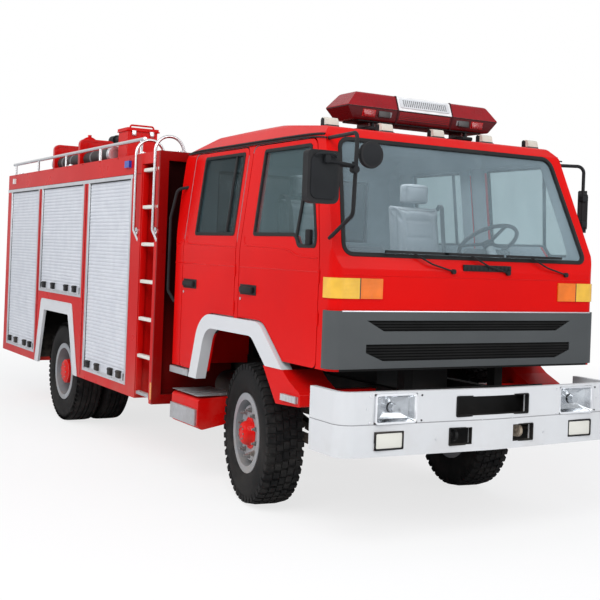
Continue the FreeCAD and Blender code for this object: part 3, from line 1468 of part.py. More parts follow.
def seats():
    # Two front seats and a rear bench. Cushions are clear of the frames that carry them.
    frames = []
    cushions = []
    top = s.floorTop + s.seatHeight
    under = top - s.cushionThick
    gap = s.seat
    lean = s.backThick * 0.8
    for word, side in (("Left", 1), ("Right", -1)):
        x = side * s.frontSeatOffset
        half = s.seatWidth / 2
        back = along(s.frontSeatBack)
        width = (x - half, x + half)
        frames.append(block(f"seatBase{word}", (x - half * 0.8, x + half * 0.8),
                            (back - s.seatDepth * 0.9, back),
                            (s.floorTop, under - gap)))
        cushions.append(prism(f"cushion{word}", "x", width, [
            (back - s.seatDepth, under), (back - gap, under), (back - gap, top - s.headrestGap),
            (back - s.seatDepth, top)], [s.edgeRadius, s.softRadius, s.edgeRadius, s.lipRadius]))
        cushions.append(prism(f"backrest{word}", "x", width, [
            (back, under), (back + s.backThick, under), (back + s.backThick + lean, top + s.backHeight),
            (back + lean, top + s.backHeight)], [0, s.softRadius, s.edgeRadius, s.edgeRadius]))
        level = top + s.backHeight + gap
        cushions.append(prism(f"headrest{word}", "x", (x - s.headrestWidth / 2, x + s.headrestWidth / 2), [
            (back + lean, level), (back + lean + s.backThick, level),
            (back + lean + s.backThick, level + s.headrestHeight),
            (back + lean, level + s.headrestHeight)],
            [s.smallRadius, s.smallRadius, s.lipRadius, s.lipRadius]))
    half = s.eavesHalf - s.cabWall * 2
    rear = along(s.cabRear) - s.cabWall - gap
    depth = s.seatDepth + s.backThick
    frames.append(block("benchBase", (-half, half), (rear - depth * 0.9, rear), (s.floorTop, under - gap)))
    cushions.append(prism("benchCushion", "x", (-half, half), [
        (rear - depth, under), (rear, under), (rear, top - gap), (rear - depth, top - gap)],
        [s.edgeRadius, s.softRadius, s.softRadius, s.lipRadius]))
    cushions.append(prism("benchBack", "x", (-half, half), [
        (rear - s.backThick, top), (rear, top), (rear, s.windowSill - s.headrestGap),
        (rear - s.backThick * 0.7, s.windowSill - s.headrestGap)],
        [s.softRadius, s.softRadius, s.edgeRadius, s.lipRadius]))
    node("seat_frames", together("seat_frames", *frames))
    return node("seat_cushions", together("seat_cushions", *cushions))


def dashboard():
    # A moulded dash under the windscreen that carries the steering column.
    front = ahead(s.cabNose) + s.cabWall + s.seat
    rear = front + s.dashDepth
    body = prism("dashBody", "x", (-s.dashHalf, s.dashHalf), [
        (front, s.dashBottom), (rear - s.dashDepth * 0.3, s.dashBottom),
        (rear, s.dashBottom + s.cushionThick),
        (rear - s.dashDepth * 0.1, s.dashTop - s.headrestGap), (rear - s.dashDepth * 0.35, s.dashTop),
        (front + s.headrestGap * 2, s.dashTop - s.headrestGap * 2), (front, s.dashTop - s.headrestGap * 6)],
        [0, s.lipRadius, s.lipRadius, s.edgeRadius, s.cornerRadius, 0, 0])
    tilt = math.radians(float(s.columnTilt))
    up = Vector(0, math.sin(tilt), math.cos(tilt))
    hub = Vector(float(s.steeringOffset), float(ahead(s.steeringSetback)), float(s.steeringHeight))
    top = hub - up * float(s.steeringHubRadius)
    column = Part.makeCylinder(float(s.columnRadius), float(s.columnLength),
                               top - up * float(s.columnLength), up)
    shaft = Part.makeCylinder(float(s.steeringShaftRadius), float(s.steeringHubRadius), top, up)
    room = Part.makeBox(float(s.cabWidth), float(s.cabWidth), float(s.cabWidth),
                        Vector(0, float(front), float(s.floorTop)))
    column = column.common(room).fuse(shaft)
    return node("dashboard", fused("dashboard", body, shaped("column", column)))


def steeringWheel():
    tilt = math.radians(float(s.columnTilt))
    radius, rim = float(s.steeringRadius), float(s.steeringRim)
    ring = Part.makeTorus(radius, rim)
    hub = Part.makeCylinder(float(s.steeringHubRadius), rim * 2.5, Vector(0, 0, -rim * 2.2))
    shaft = Part.makeCylinder(float(s.steeringShaftRadius + s.runningFit), rim * 3, Vector(0, 0, -rim * 3))
    pieces = [hub]
    spokesShares = (0.03, 0.47, 0.75)
    for share in spokesShares:
        spoke = Part.makeBox(radius, rim * 1.8, rim * 0.8, Vector(0, -rim * 0.9, -rim * 0.8))
        spoke.rotate(Vector(), Vector(0, 0, 1), 360 * share)
        pieces.append(spoke)
    wheel = ring.fuse(pieces).cut(shaft)
    thing = shaped("steering_wheel", wheel)
    thing.Placement = Placement(Vector(), Rotation(Vector(1, 0, 0), -float(s.columnTilt)))
    put(thing, s.steeringOffset, ahead(s.steeringSetback), s.steeringHeight)
    return node("steering_wheel", thing)


# Roof lamps, mirrors, wipers and rails on the cab

def lightBar():
    half, deep = s.lightBarHalf, s.lightBarDepth / 2
    y = ahead(s.lightBarMiddle)
    low, high = s.lightBarBottom, s.lightBarTop
    waist = low + (high - low) * 0.46
    form = prism("lightBarLong", "y", (y - deep, y + deep), [
        (-half * 0.9, low), (half * 0.9, low), (half, waist), (half * 0.86, high), (-half * 0.86, high),
        (-half, waist)],
        [s.softRadius, s.softRadius, s.smallRadius, s.edgeRadius, s.edgeRadius, s.smallRadius])
    across = prism("lightBarAcross", "x", (-half, half), [
        (y - deep * 0.8, low), (y + deep * 0.8, low), (y + deep, waist), (y + deep * 0.72, high),
        (y - deep * 0.72, high),
        (y - deep, waist)],
        [s.smallRadius, s.smallRadius, s.smallRadius, s.edgeRadius, s.edgeRadius, s.smallRadius])
    feet = [block(f"lightBarFoot{i}", (x - s.lightBarFoot / 2, x + s.lightBarFoot / 2),
                  (y - deep / 2, y + deep / 2),
                  (s.roofHeight - s.lightBarFoot, low + s.seat * 10))
            for i, x in enumerate((-half * 0.62, half * 0.62))]
    roof = cabForm("roofSeatBar", -s.seat, s.windowSill - s.railHeight)
    return node("light_bar", cut("light_bar", fused("lightBarWhole", common("lightBarForm", form, across),
                                                    *feet), roof))


def markerLamps():
    y = ahead(s.markerLampSetback)
    size = s.markerLampSize
    roof = cabForm("roofSeatMarkers", -s.seat, s.windowSill - s.railHeight)
    lamps = []
    placesShares = (-1.0, -0.5, 0.0, 0.5, 1.0)
    for i, share in enumerate(placesShares):
        x = s.markerLampOuter * share
        z = s.screenTopHeight + s.screenCornerRadius - s.headrestGap * 2
        body = prism(f"markerBody{i}", "x", (x - size / 2, x + size / 2), [
            (y - size / 2, z), (y + size / 2, z), (y + size / 2, z + s.markerLampHeight * 2),
            (y - size / 5, z + s.markerLampHeight * 2)], [0, 0, s.smallRadius, s.softRadius])
        lamps.append(cut(f"markerLamp{i}", body, roof))
    return node("roof_marker_lamps", together("roof_marker_lamps", *lamps))


def mirrorFace(name, low, high, y):
    z, tall = s.mirrorMiddle, s.mirrorHeight / 2
    return prism(name, "y", (y - s.mirrorThick / 2, y + s.mirrorThick / 2), [
        (low, z - tall), (high, z - tall), (high, z + tall), (low, z + tall)],
        [s.lipRadius, s.lipRadius, s.edgeRadius, s.edgeRadius])


def rightMirror():
    # A tube hoop ahead of the windscreen's corner with a large mirror outside it and a round one inside.
    tube = s.mirrorTubeRadius
    bend = tube * 4
    out = s.mirrorArmHalf
    front = ahead(s.mirrorForward)
    low = s.quarterSill + s.windowFrame * 3.4
    loop = pipe("mirrorHoop", tube, [
        (-s.cabWidth / 2 + tube, ahead(s.frontDoorFront + s.windowFrame * 1.6),
         s.quarterSill + s.windowFrame),
        (-out, front, low), (-out + tube, front, s.eavesHeight - tube * 3),
        (-s.eavesHalf + s.cabWall * 0.5, ahead(s.screenTopSetback - s.windowFrame * 0.5),
         s.eavesHeight - tube * 2)],
        [0, bend, bend, 0])
    inner = s.mirrorOuter - s.mirrorWidth
    z = s.mirrorMiddle + s.mirrorHeight / 2
    housing = mirrorFace("mirrorHousingRight", -s.mirrorOuter, -inner, front)
    stay = rod("mirrorStay", "x", tube * 0.8, inner - out + s.overrun * 2,
               (-inner - s.overrun, front, z - s.mirrorHeight / 4))
    radius = s.roundMirrorRadius
    spot = rod("spotMirror", "y", radius, s.mirrorThick * 0.6,
               (-out + radius * 1.4, front - s.mirrorThick * 0.3, z))
    spotStay = rod("spotStay", "x", tube * 0.7, radius, (-out, front, z))
    whole = fused("mirrorRightWhole", loop, housing, stay, spot, spotStay)
    return node("mirror_right", cut("mirror_right", whole, cabForm("mirrorClear", -s.seat, s.cabSkirtRear)))


def leftMirror():
    # A shorter arm on the left front door, with its mirror turned towards the driver.
    tube = s.mirrorTubeRadius
    bend = tube * 4
    reach = s.leftMirrorArm
    y = ahead(s.leftMirrorForward)
    z = s.mirrorMiddle - s.windowFrame
    arm = pipe("mirrorArm", tube, [
        (s.eavesHalf - tube, ahead(s.frontDoorTopFront - s.windowFrame * 0.6), s.doorTop - tube * 2),
        (reach, y, s.doorTop - tube * 2), (reach, y, s.quarterSill + s.windowFrame * 2),
        (s.cabWidth / 2 - tube, ahead(s.frontDoorFront - s.windowFrame), s.quarterSill - s.windowFrame / 2)],
        [0, bend, bend, 0])
    edge = tube * 0.8
    housing = mirrorFace("mirrorHousingLeft", zero - edge, s.mirrorWidth - edge, zero)
    housing.Placement = Placement(Vector(), Rotation(Vector(0, 0, 1), 1))
    bind(housing, "Placement.Rotation.Angle", s.leftMirrorTurn)
    put(housing, reach, y, z - s.mirrorMiddle)
    whole = fused("mirrorLeftWhole", arm, housing)
    return node("mirror_left", cut("mirror_left", whole, cabForm("doorClear", -s.seat, s.cabSkirtRear)))


def wipers():
    # Three wipers that lie along the foot of the windscreen, towards the vehicle's right.
    thick = s.wiperThick
    y = ahead(s.cabNose) - thick
    z = s.wiperHeight
    pieces = []
    placesShares = (-0.18, 0.27, 0.78)
    for i, share in enumerate(placesShares):
        x = s.screenHalfFoot * share
        pivot = rod(f"wiperPivot{i}", "y", thick * 1.4, thick * 2.6, (x, y - thick * 0.6, z - s.windowFrame))
        tip = (x - s.wiperLength * 0.88, ahead(s.screenFootSetback) - thick, z + s.windowFrame * 1.25)
        arm = pipe(f"wiperArm{i}", thick / 2, [
            (x, y, z - s.windowFrame), (x - s.wiperLength * 0.3, y - thick, z - s.windowFrame / 4),
            (tip[0] + s.wiperLength * 0.35, tip[1] - thick, tip[2] - s.headrestGap)],
            [0, s.wiperLength * 0.15, 0])
        blade = block(f"wiperBlade{i}", (tip[0], x - s.wiperLength * 0.08),
                      (tip[1] - thick * 2, tip[1] - thick),
                      (tip[2] - s.headrestGap * 1.5, tip[2] - s.headrestGap / 2))
        pieces.append(fused(f"wiper{i}", pivot, arm, blade))
    clear = cabForm("wiperClear", -s.seat, s.cabSkirtRear)
    return node("wipers", cut("wipers", together("wipersWhole", *pieces), clear))


def grabRails():
    # A bent black rail stands off each rear corner of the cab.
    tube = s.mirrorTubeRadius
    x = s.cabWidth / 2 + tube * 2.4
    rear = along(s.cabRear) + tube
    rail = pipe("grabRail", tube, [
        (s.eavesHalf, along(s.rearDoorRear) + s.windowFrame, s.windowTop - s.windowFrame * 3.6),
        (x - tube * 2, rear - tube * 5, s.windowTop - s.windowFrame * 4),
        (x, rear, s.windowTop - s.windowFrame * 8), (x, rear, s.grilleTop),
        (s.cabWidth / 2 - tube, rear - tube * 3, s.grilleTop - s.windowFrame * 1.5)],
        [0, s.cornerRadius, s.eavesRadius, s.cornerRadius, 0])
    clear = cabForm("grabClear", -s.seat, s.cabSkirtRear)
    one = cut("grabRailLeft", rail, clear)
    return node("grab_rails", together("grab_rails", one, mirrored("grabRailRight", one)))


# Equipment body

def outboard(side, inner, outer):
    # A reach across the vehicle on its left (1) or right (-1), low end first.
    return (inner, outer) if side > 0 else (-outer, -inner)


def bodyRooms(word, grow):
    # The hollow behind the shutters and the narrower one between the ladders.
    inside = s.bodyHalf - s.bodyWall + grow
    narrow = inside - s.ladderRecess
    low, high = s.bodyBottom + s.bodyWall - grow, s.bodyTop - s.bodyWall + grow
    start = along(s.bodyFront) + s.frontRecess + s.bodyWall - grow
    rearRoom = block(f"lockerRoom{word}", (-inside, inside),
                     (along(s.lockerFront) - grow, along(s.bodyRear) - s.bodyWall + grow),
                     (low, high))
    frontRoom = block(f"pumpRoom{word}", (-narrow, narrow), (start, along(s.lockerFront) + s.overrun),
                      (low, high))
    return rearRoom, frontRoom


def wheelSpaces(word):
    # What is free under the floor: the tunnel over the chassis frame and the two rear wheel wells.
    inner = s.tunnelHalf - s.tunnelWall
    face = s.bodyHalf - s.archFrameThick
    low = s.bodyBottom - s.overrun
    tunnel = block(f"tunnelSpace{word}", (-inner, inner),
                   (along(s.bodyFront) - s.overrun, along(s.bodyRear) + s.overrun),
                   (low, s.railTop + s.subframeHeight))
    well = block(f"wellSpace{word}", (-face, face),
                 (rearAxle - s.wellAhead + s.wellWall, rearAxle + s.wellBehind - s.wellWall),
                 (low, s.wellTop - s.wellWall))
    return tunnel, well


def bodyShell():
    half, wall = s.bodyHalf, s.bodyWall
    front, rear = along(s.bodyFront), along(s.bodyRear)
    low, high = s.bodyBottom, s.bodyTop
    outer = block("bodyOuter", (-half, half), (front, rear), (low, high))
    tools = [*bodyRooms("Shell", zero), *wheelSpaces("Shell")]
    tools.append(block("frontRecessSpace", (-half + s.frontFrameWidth, half - s.frontFrameWidth),
                       (front - s.overrun, front + s.frontRecess),
                       (low + s.frontFrameWidth, high - s.frontFrameWidth)))
    for word, side in (("Left", 1), ("Right", -1)):
        x = outboard(side, half - s.ladderRecess, half + s.overrun)
        tools.append(block(f"ladderRecess{word}", x, (along(s.ladderFront), along(s.ladderRear)),
                           (low - s.overrun, s.ladderTop)))
        x = outboard(side, half - wall * 2, half + s.overrun)
        for name, y in sideShutters().items():
            bottom = s.shutterTwoBottom if name == "Two" else s.shutterBottom
            tools.append(block(f"lockerMouth{name}{word}", x, y, (bottom, s.shutterTop)))
        reach = (side * (half - s.archFrameThick * 2), side * (half + s.overrun))
        tools.append(rearArch(f"archMouth{word}", reach, -s.seat, s.overrun))
    tools.append(block("rearMouth", (-s.rearShutterHalf, s.rearShutterHalf),
                       (rear - wall * 2, rear + s.overrun),
                       (s.rearShutterBottom, s.shutterTop)))
    return node("body_shell", cut("body_shell", outer, *tools))


def bodyFloor():
    # Folded sheet inside the shell: the tunnel over the frame and the boxes over the rear wheels.
    front, rear = along(s.bodyFront), along(s.bodyRear)
    tunnel = block("tunnelOuter", (-s.tunnelHalf, s.tunnelHalf), (front, rear),
                   (s.bodyBottom, s.railTop + s.subframeHeight + s.tunnelWall))
    well = block("wellOuter", (-s.bodyHalf, s.bodyHalf), (rearAxle - s.wellAhead, rearAxle + s.wellBehind),
                 (s.bodyBottom, s.wellTop))
    rooms = fused("floorRooms", *bodyRooms("Floor", -s.seat))
    lined = common("floorLined", fused("floorOuter", tunnel, well), rooms)
    return node("body_floor", cut("body_floor", lined, *wheelSpaces("Floor")))


def sideShutters():
    return {
        "One": (along(s.shutterOneFront), rearAxle - s.shutterOneAhead),
        "Two": (rearAxle - s.shutterTwoAhead, rearAxle + s.shutterTwoBehind),
        "Three": (rearAxle + s.shutterThreeBehind, along(s.shutterThreeRear)),
    }


def rollerShutters():
    face, thick, gap = s.bodyHalf - s.shutterInset, s.shutterThick, s.seat
    pieces = []
    for name, y in sideShutters().items():
        bottom = s.shutterTwoBottom if name == "Two" else s.shutterBottom
        curtain = block(f"curtain{name}", (face - thick, face), (y[0] + gap, y[1] - gap),
                        (bottom + gap, s.shutterTop - gap))
        bar = block(f"lockBar{name}", (face, face + s.trimProud * 2),
                    (y[0] + s.trimWidth, y[1] - s.trimWidth),
                    (bottom + s.panelGap, bottom + s.panelGap + s.barHeight))
        closed = fused(f"shutter{name}", curtain, bar)
        pieces += [closed, mirrored(f"shutterRight{name}", closed)]
    rear = along(s.bodyRear) - s.shutterInset
    back = block("curtainBack", (-s.rearShutterHalf + gap, s.rearShutterHalf - gap), (rear - thick, rear),
                 (s.rearShutterBottom + gap, s.shutterTop - gap))
    backBar = block("lockBarBack", (-s.rearShutterHalf + s.trimWidth, s.rearShutterHalf - s.trimWidth),
                    (rear, rear + s.trimProud * 2), (s.rearShutterBottom + s.panelGap,
                                                     s.rearShutterBottom + s.panelGap + s.barHeight))
    pieces.append(fused("shutterBack", back, backBar))
    return node("roller_shutters", together("roller_shutters", *pieces))


def bodyTrim():
    # Bright strips: one along the fascia, guides beside each shutter and a strip under it.
    face, proud, wide = s.bodyHalf, s.trimProud, s.trimWidth
    span = (face, face + proud)
    strip = block("fasciaStrip", span, (along(s.shutterOneFront) - wide, along(s.bodyRear)),
                  (s.shutterTop, s.shutterTop + wide))
    pieces = [strip]
    for name, y in sideShutters().items():
        bottom = s.shutterTwoBottom if name == "Two" else s.shutterBottom
        for end, low in (("Front", y[0] - wide / 2), ("Rear", y[1])):
            pieces.append(block(f"guide{name}{end}", span, (low, low + wide / 2), (bottom, s.shutterTop)))
        pieces.append(block(f"footStrip{name}", span, (y[0] - wide / 2, y[1] + wide / 2),
                            (bottom - wide * 0.7, bottom)))
    left = fused("trimLeft", *pieces)
    rear = along(s.bodyRear)
    back = []
    for word, side in (("Left", 1), ("Right", -1)):
        edge = side * s.rearShutterHalf
        x = (edge, edge + wide / 2) if side > 0 else (edge - wide / 2, edge)
        back.append(block(f"guideBack{word}", x, (rear, rear + proud),
                          (s.rearShutterBottom, s.shutterTop + wide)))
    back.append(block("stripBack", (-s.rearShutterHalf, s.rearShutterHalf), (rear, rear + proud),
                      (s.shutterTop, s.shutterTop + wide)))
    return node("body_trim", together("body_trim", left, mirrored("trimRight", left),
                                      fused("trimBack", *back)))


def sideLadders():
    # Rungs across the recess at each front corner of the body.
    x = s.bodyHalf - s.rungRadius * 1.5
    length = s.ladderRear - s.ladderFront
    pieces = []
    for i in range(int(float(s.rungCount))):
        z = s.rungFirst + s.rungStep * i
        pieces.append(rod(f"rung{i}", "y", s.rungRadius, length, (x, along(s.ladderFront), z)))
    left = together("rungsLeft", *pieces)
    return node("side_ladders", together("side_ladders", left, mirrored("rungsRight", left)))


def roofRails():
    # Bright tubes along the roof edges, and two hoops over each ladder.
    tube = s.railTubeRadius
    x = s.bodyHalf - s.roofRailInset
    top = s.bodyTop + s.roofRailHeight
    front, rear = along(s.lockerFront - s.trimWidth * 4), along(s.bodyRear) - s.trimWidth * 2
    rail = rod("roofRail", "y", tube, rear - front, (x, front, top))
    posts = []
    postsShares = (0.02, 0.27, 0.52, 0.76, 0.98)
    for i, share in enumerate(postsShares):
        posts.append(rod(f"roofPost{i}", "z", tube * 0.8, s.roofRailHeight,
                         (x, front + (rear - front) * share, s.bodyTop)))
    side = fused("roofRailLeft", rail, *posts)
    pieces = [side, mirrored("roofRailRight", side)]
    outer = s.bodyHalf + s.hoopStandOff
    inner = s.bodyHalf - s.hoopTopInset
    crown = s.bodyTop + s.hoopRadius
    for i, y in enumerate((along(s.ladderFront) - tube * 2, along(s.ladderRear) + tube * 4)):
        bend = (outer - inner) * 0.49
        tubeLine = pipe(f"hoopTube{i}", tube * 0.8, [
            (s.bodyHalf - s.hoopStandOff, y, s.hoopFootHeight - s.hoopStandOff * 4),
            (outer, y, s.hoopFootHeight),
            (outer, y, crown), (inner, y, crown), (inner, y, s.bodyTop - s.hoopStandOff)],
            [0, s.smallRadius, bend, bend, 0])
        within = block(f"hoopFoot{i}", (zero, s.bodyHalf), (y - tube, y + tube), (s.bodyBottom, s.bodyTop))
        hoop = cut(f"hoop{i}", tubeLine, within)
        pieces += [hoop, mirrored(f"hoopRight{i}", hoop)]
    return node("roof_rails", together("roof_rails", *pieces))


# Roof equipment

def roofBox():
    # A stowage box on the roof's right, with a lid hinged on its inner side.
    outer = -s.roofBoxOuter
    x = (outer, outer + s.roofBoxWidth)
    y = (along(s.roofBoxFront), along(s.roofBoxRear))
    z = (s.bodyTop, s.bodyTop + s.roofBoxHeight - s.lidThick)
    wall = s.roofBoxWall
    body = block("roofBoxBody", x, y, z)
    room = block("roofBoxRoom", (x[0] + wall, x[1] - wall), (y[0] + wall, y[1] - wall),
                 (z[0] + wall, z[1] + s.overrun))
    node("roof_box", cut("roof_box", body, room))
    top = z[1] + s.seat
    lid = block("roofBoxLid", (x[0] - wall / 2, x[1] + wall / 2), (y[0] - wall / 2, y[1] + wall / 2),
                (top, top + s.lidThick - s.seat))
    barrel = rod("roofBoxHinge", "y", s.hingeRadius, s.roofBoxRear - s.roofBoxFront,
                 (x[1] + wall / 2, y[0], top))
    bar = s.lidHandleRadius
    lift = top + s.lidThick
    inset = s.roofBoxWidth / 10
    line = y[0] + bar * 3
    handle = pipe("roofBoxHandle", bar, [
        (x[0] + inset, line, lift - bar), (x[0] + inset, line, lift + s.lidHandleHeight),
        (x[1] - inset, line, lift + s.lidHandleHeight), (x[1] - inset, line, lift - bar)],
        [0, bar * 2.5, bar * 2.5, 0])
    node("roof_box_lid", fused("roof_box_lid", lid, barrel, handle))


def suctionHoses():
    # Two lengths of hard suction hose with couplings, side by side on the right of the roof.
    radius = s.hoseRadius
    pieces = []
    for i in range(2):
        x = -s.hoseOuter + s.hoseSpacing * i
        z = s.bodyTop + radius * 1.55
        start = along(s.hoseFront)
        hose = rod(f"hose{i}", "y", radius, s.hoseLength, (x, start, z))
        ends = [rod(f"hoseCoupling{i}{j}", "y", radius * 1.14, radius, (x, y, z))
                for j, y in enumerate((start, start + s.hoseLength - radius))]
        pieces.append(fused(f"suctionHose{i}", hose, *ends))
    return node("suction_hoses", together("suction_hoses", *pieces))


def hoseBrackets():
    radius = s.hoseRadius
    pieces = []
    placesShares = (0.42, 0.9)
    for i, share in enumerate(placesShares):
        y = along(s.hoseFront) + s.hoseLength * share
        left = -s.hoseOuter - radius * 1.5
        plate = prism(f"bracketPlate{i}", "y", (y, y + s.bracketThick * 4), [
            (left, s.bodyTop), (left + s.bracketWidth, s.bodyTop),
            (left + s.bracketWidth, s.bodyTop + s.bracketHeight),
            (left, s.bodyTop + s.bracketHeight)], [0, 0, s.cornerRadius, s.cornerRadius])
        holes = [rod(f"bracketHole{i}{j}", "y", radius + s.seat, s.bracketThick * 8,
                     (-s.hoseOuter + s.hoseSpacing * j, y - s.bracketThick,
                      s.bodyTop + radius * 1.55)) for j in range(2)]
        pieces.append(cut(f"hoseBracket{i}", plate, *holes))
    return node("hose_brackets", together("hose_brackets", *pieces))


def monitor():
    # A water monitor on the centre line near the body's rear: riser, swivelling elbow and elevating barrel.
    y = along(s.monitorPlace)
    pipeRadius = s.monitorPipeRadius
    pivot = s.monitorPivotHeight
    split = s.bodyTop + (pivot - s.bodyTop) * 0.45
    flange = rod("monitorFlange", "z", s.monitorFlangeRadius, s.monitorFlangeThick, (zero, y, s.bodyTop))
    riser = rod("monitorRiser", "z", pipeRadius, split - s.bodyTop - s.panelGap, (zero, y, s.bodyTop))
    spigot = rod("monitorSpigot", "z", pipeRadius * 0.6, s.monitorFlangeThick * 3 + s.panelGap,
                 (zero, y, split - s.panelGap * 2))
    node("monitor_base", fused("monitor_base", flange, riser, spigot))
    sleeve = rod("monitorSleeve", "z", pipeRadius * 1.15, s.monitorFlangeThick * 5, (zero, y, split))
    socket = rod("monitorSocket", "z", pipeRadius * 0.6 + s.runningFit,
                 s.monitorFlangeThick * 3 + s.panelGap, (zero, y, split - s.panelGap))
    cheekThick = s.monitorFlangeThick
    gap = s.monitorBarrelRadius * 1.3
    cheekTop = pivot + gap
    cheeks = []
    for word, side in (("Left", 1), ("Right", -1)):
        x = (gap, gap + cheekThick) if side > 0 else (-gap - cheekThick, -gap)
        cheeks.append(block(f"monitorCheek{word}", x, (y - gap, y + gap), (split + cheekThick * 2, cheekTop)))
    bridge = block("monitorBridge", (-gap - cheekThick, gap + cheekThick), (y - gap, y + gap),
                   (split + cheekThick * 2, split + cheekThick * 5))
    bore = rod("monitorCheekBore", "x", pipeRadius * 0.4 + s.runningFit, gap * 4, (-gap * 2, y, pivot))
    node("monitor_elbow", cut("monitor_elbow", fused("monitorElbowWhole", sleeve, bridge, *cheeks), socket,
                              bore))
    radius = s.monitorBarrelRadius
    back = y - s.monitorBarrelLength * 0.25
    tube = rod("monitorTube", "y", radius, s.monitorBarrelLength, (zero, back, pivot))
    nozzle = rod("monitorNozzle", "y", s.monitorNozzleRadius, s.monitorNozzleLength,
                 (zero, back + s.monitorBarrelLength, pivot))
    trunnion = rod("monitorTrunnion", "x", pipeRadius * 0.4, (gap + cheekThick) * 2,
                   (-gap - cheekThick, y, pivot))
    node("monitor_barrel", fused("monitor_barrel", tube, nozzle, trunnion))


def bodyLamps():
    # Side markers at the fascia's ends, reflectors low on the ladder post and lamp clusters at the rear.
    face, thick = s.bodyHalf, s.sideLampThick
    high = s.shutterTop + s.trimWidth * 2
    pieces = []
    long, tall = s.sideLampLength, s.sideLampHeight
    for name, y, z, size in (("blue", along(s.shutterOneFront) + long / 4, high + tall / 2, long),
                             ("white", along(s.bodyRear) - long * 3, high + tall / 2, long / 2),
                             ("reflector", along(s.ladderFront) - long / 2, s.rungFirst - tall / 4,
                              tall / 2)):
        height = tall if name != "reflector" else long * 1.3
        lamp = block(f"{name}Lamp", (face, face + thick if name != "reflector" else face + s.trimProud),
                     (y, y + size), (z, z + height))
        pieces += [lamp, mirrored(f"{name}LampRight", lamp)]
    rear = along(s.bodyRear)
    edge = face - s.trimWidth
    tail = block("tailLamp", (edge - s.tailLampWidth, edge), (rear, rear + thick),
                 (s.rearShutterBottom, s.rearShutterBottom + s.tailLampHeight))
    pieces += [tail, mirrored("tailLampRight", tail)]
    return node("body_lamps", together("body_lamps", *pieces))


chassisFrame()
frontAxleBeam()
rearAxleHousing()
engine()
driveShaft()
fuelTank()
exhaust()
for word, side in (("left", 1), ("right", -1)):
    knuckle(word, side)
    frontWheel(word, side)
    rearWheel(word, side)
trackRod()
cabShell()
doors()
cabGlass()
frontPanel()
cornerLamps()
archTrims()
cabSteps()
stepTreads()
bumper()
frontLamps()
towEyes()
seats()
dashboard()
steeringWheel()
lightBar()
markerLamps()
rightMirror()
leftMirror()
wipers()
grabRails()
bodyShell()
bodyFloor()
rollerShutters()
bodyTrim()
sideLadders()
roofRails()
roofBox()
suctionHoses()
hoseBrackets()
monitor()
bodyLamps()
doc.recompute()

for thing in doc.Objects:
    if "Invalid" in thing.State or "Error" in thing.State:
        raise RuntimeError(f"{thing.Label} did not build: {thing.State}")
for thing in nodes:
    if thing.Shape.isNull() or not thing.Shape.isValid() or not thing.Shape.Solids:
        raise RuntimeError(f"{thing.Label} has no sound shape")

os.makedirs("parts", exist_ok=True)
for thing in nodes:
    thing.Shape.exportStep(f"parts/{thing.Label}.step")
    box = thing.Shape.BoundBox
    print(f"{thing.Label}: {len(thing.Shape.Solids)} solids, x {box.XMin:.0f} to {box.XMax:.0f},"
          f" y {box.YMin:.0f} to {box.YMax:.0f}, z {box.ZMin:.0f} to {box.ZMax:.0f}")
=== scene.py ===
import bpy, bmesh, json, math
from mathutils import Matrix, Vector, kdtree


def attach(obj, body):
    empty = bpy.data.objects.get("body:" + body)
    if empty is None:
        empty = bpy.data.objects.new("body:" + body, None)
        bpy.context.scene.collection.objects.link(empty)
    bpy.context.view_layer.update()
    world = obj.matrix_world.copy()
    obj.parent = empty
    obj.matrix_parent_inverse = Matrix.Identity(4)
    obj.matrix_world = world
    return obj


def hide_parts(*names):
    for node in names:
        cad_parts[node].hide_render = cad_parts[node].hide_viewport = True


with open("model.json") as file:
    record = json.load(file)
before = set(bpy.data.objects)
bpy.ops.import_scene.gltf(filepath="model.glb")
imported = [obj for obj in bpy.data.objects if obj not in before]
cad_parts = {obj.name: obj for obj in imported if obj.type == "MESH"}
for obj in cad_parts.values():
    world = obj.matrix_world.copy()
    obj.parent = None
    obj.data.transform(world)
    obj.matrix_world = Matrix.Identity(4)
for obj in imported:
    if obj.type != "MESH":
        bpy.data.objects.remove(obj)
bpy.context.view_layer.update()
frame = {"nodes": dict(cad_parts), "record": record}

# Fire engine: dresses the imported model. Metres, +Z up, the nose faces -Y, +X is the vehicle's left.

nodes = frame["nodes"]
axleRear = 1.535                         # the rear axle's place along Y
sides = (("right", -1), ("left", 1))
print("frame loaded,", len(nodes), "nodes")

# Camera

camera = {"place": (-4.622, -9.177, 1.848), "yaw": 29.89, "roll": 2.17, "lens": 62.7,
          "shift": (0.0123, -0.0787)}


def makeCamera():
    yaw, roll = math.radians(camera["yaw"]), math.radians(camera["roll"])
    forward = Vector((math.sin(yaw), math.cos(yaw), 0))
    right = Vector((math.cos(yaw), -math.sin(yaw), 0))
    up = right.cross(forward)
    across = right * math.cos(roll) + up * math.sin(roll)
    high = up * math.cos(roll) - right * math.sin(roll)
    optics = bpy.data.cameras.new("camera")
    optics.sensor_width = 36
    optics.lens = camera["lens"]
    optics.shift_x, optics.shift_y = camera["shift"]
    optics.clip_end = 200
    view = bpy.data.objects.new("camera", optics)
    bpy.context.scene.collection.objects.link(view)
    turn = Matrix((across, high, -forward)).transposed()
    view.matrix_world = Matrix.Translation(camera["place"]) @ turn.to_4x4()
    bpy.context.scene.camera = view


makeCamera()
bpy.context.scene.view_settings.view_transform = "Standard"
print("camera set")

# Shader maths: Wire wraps a socket, Finish builds a material's nodes


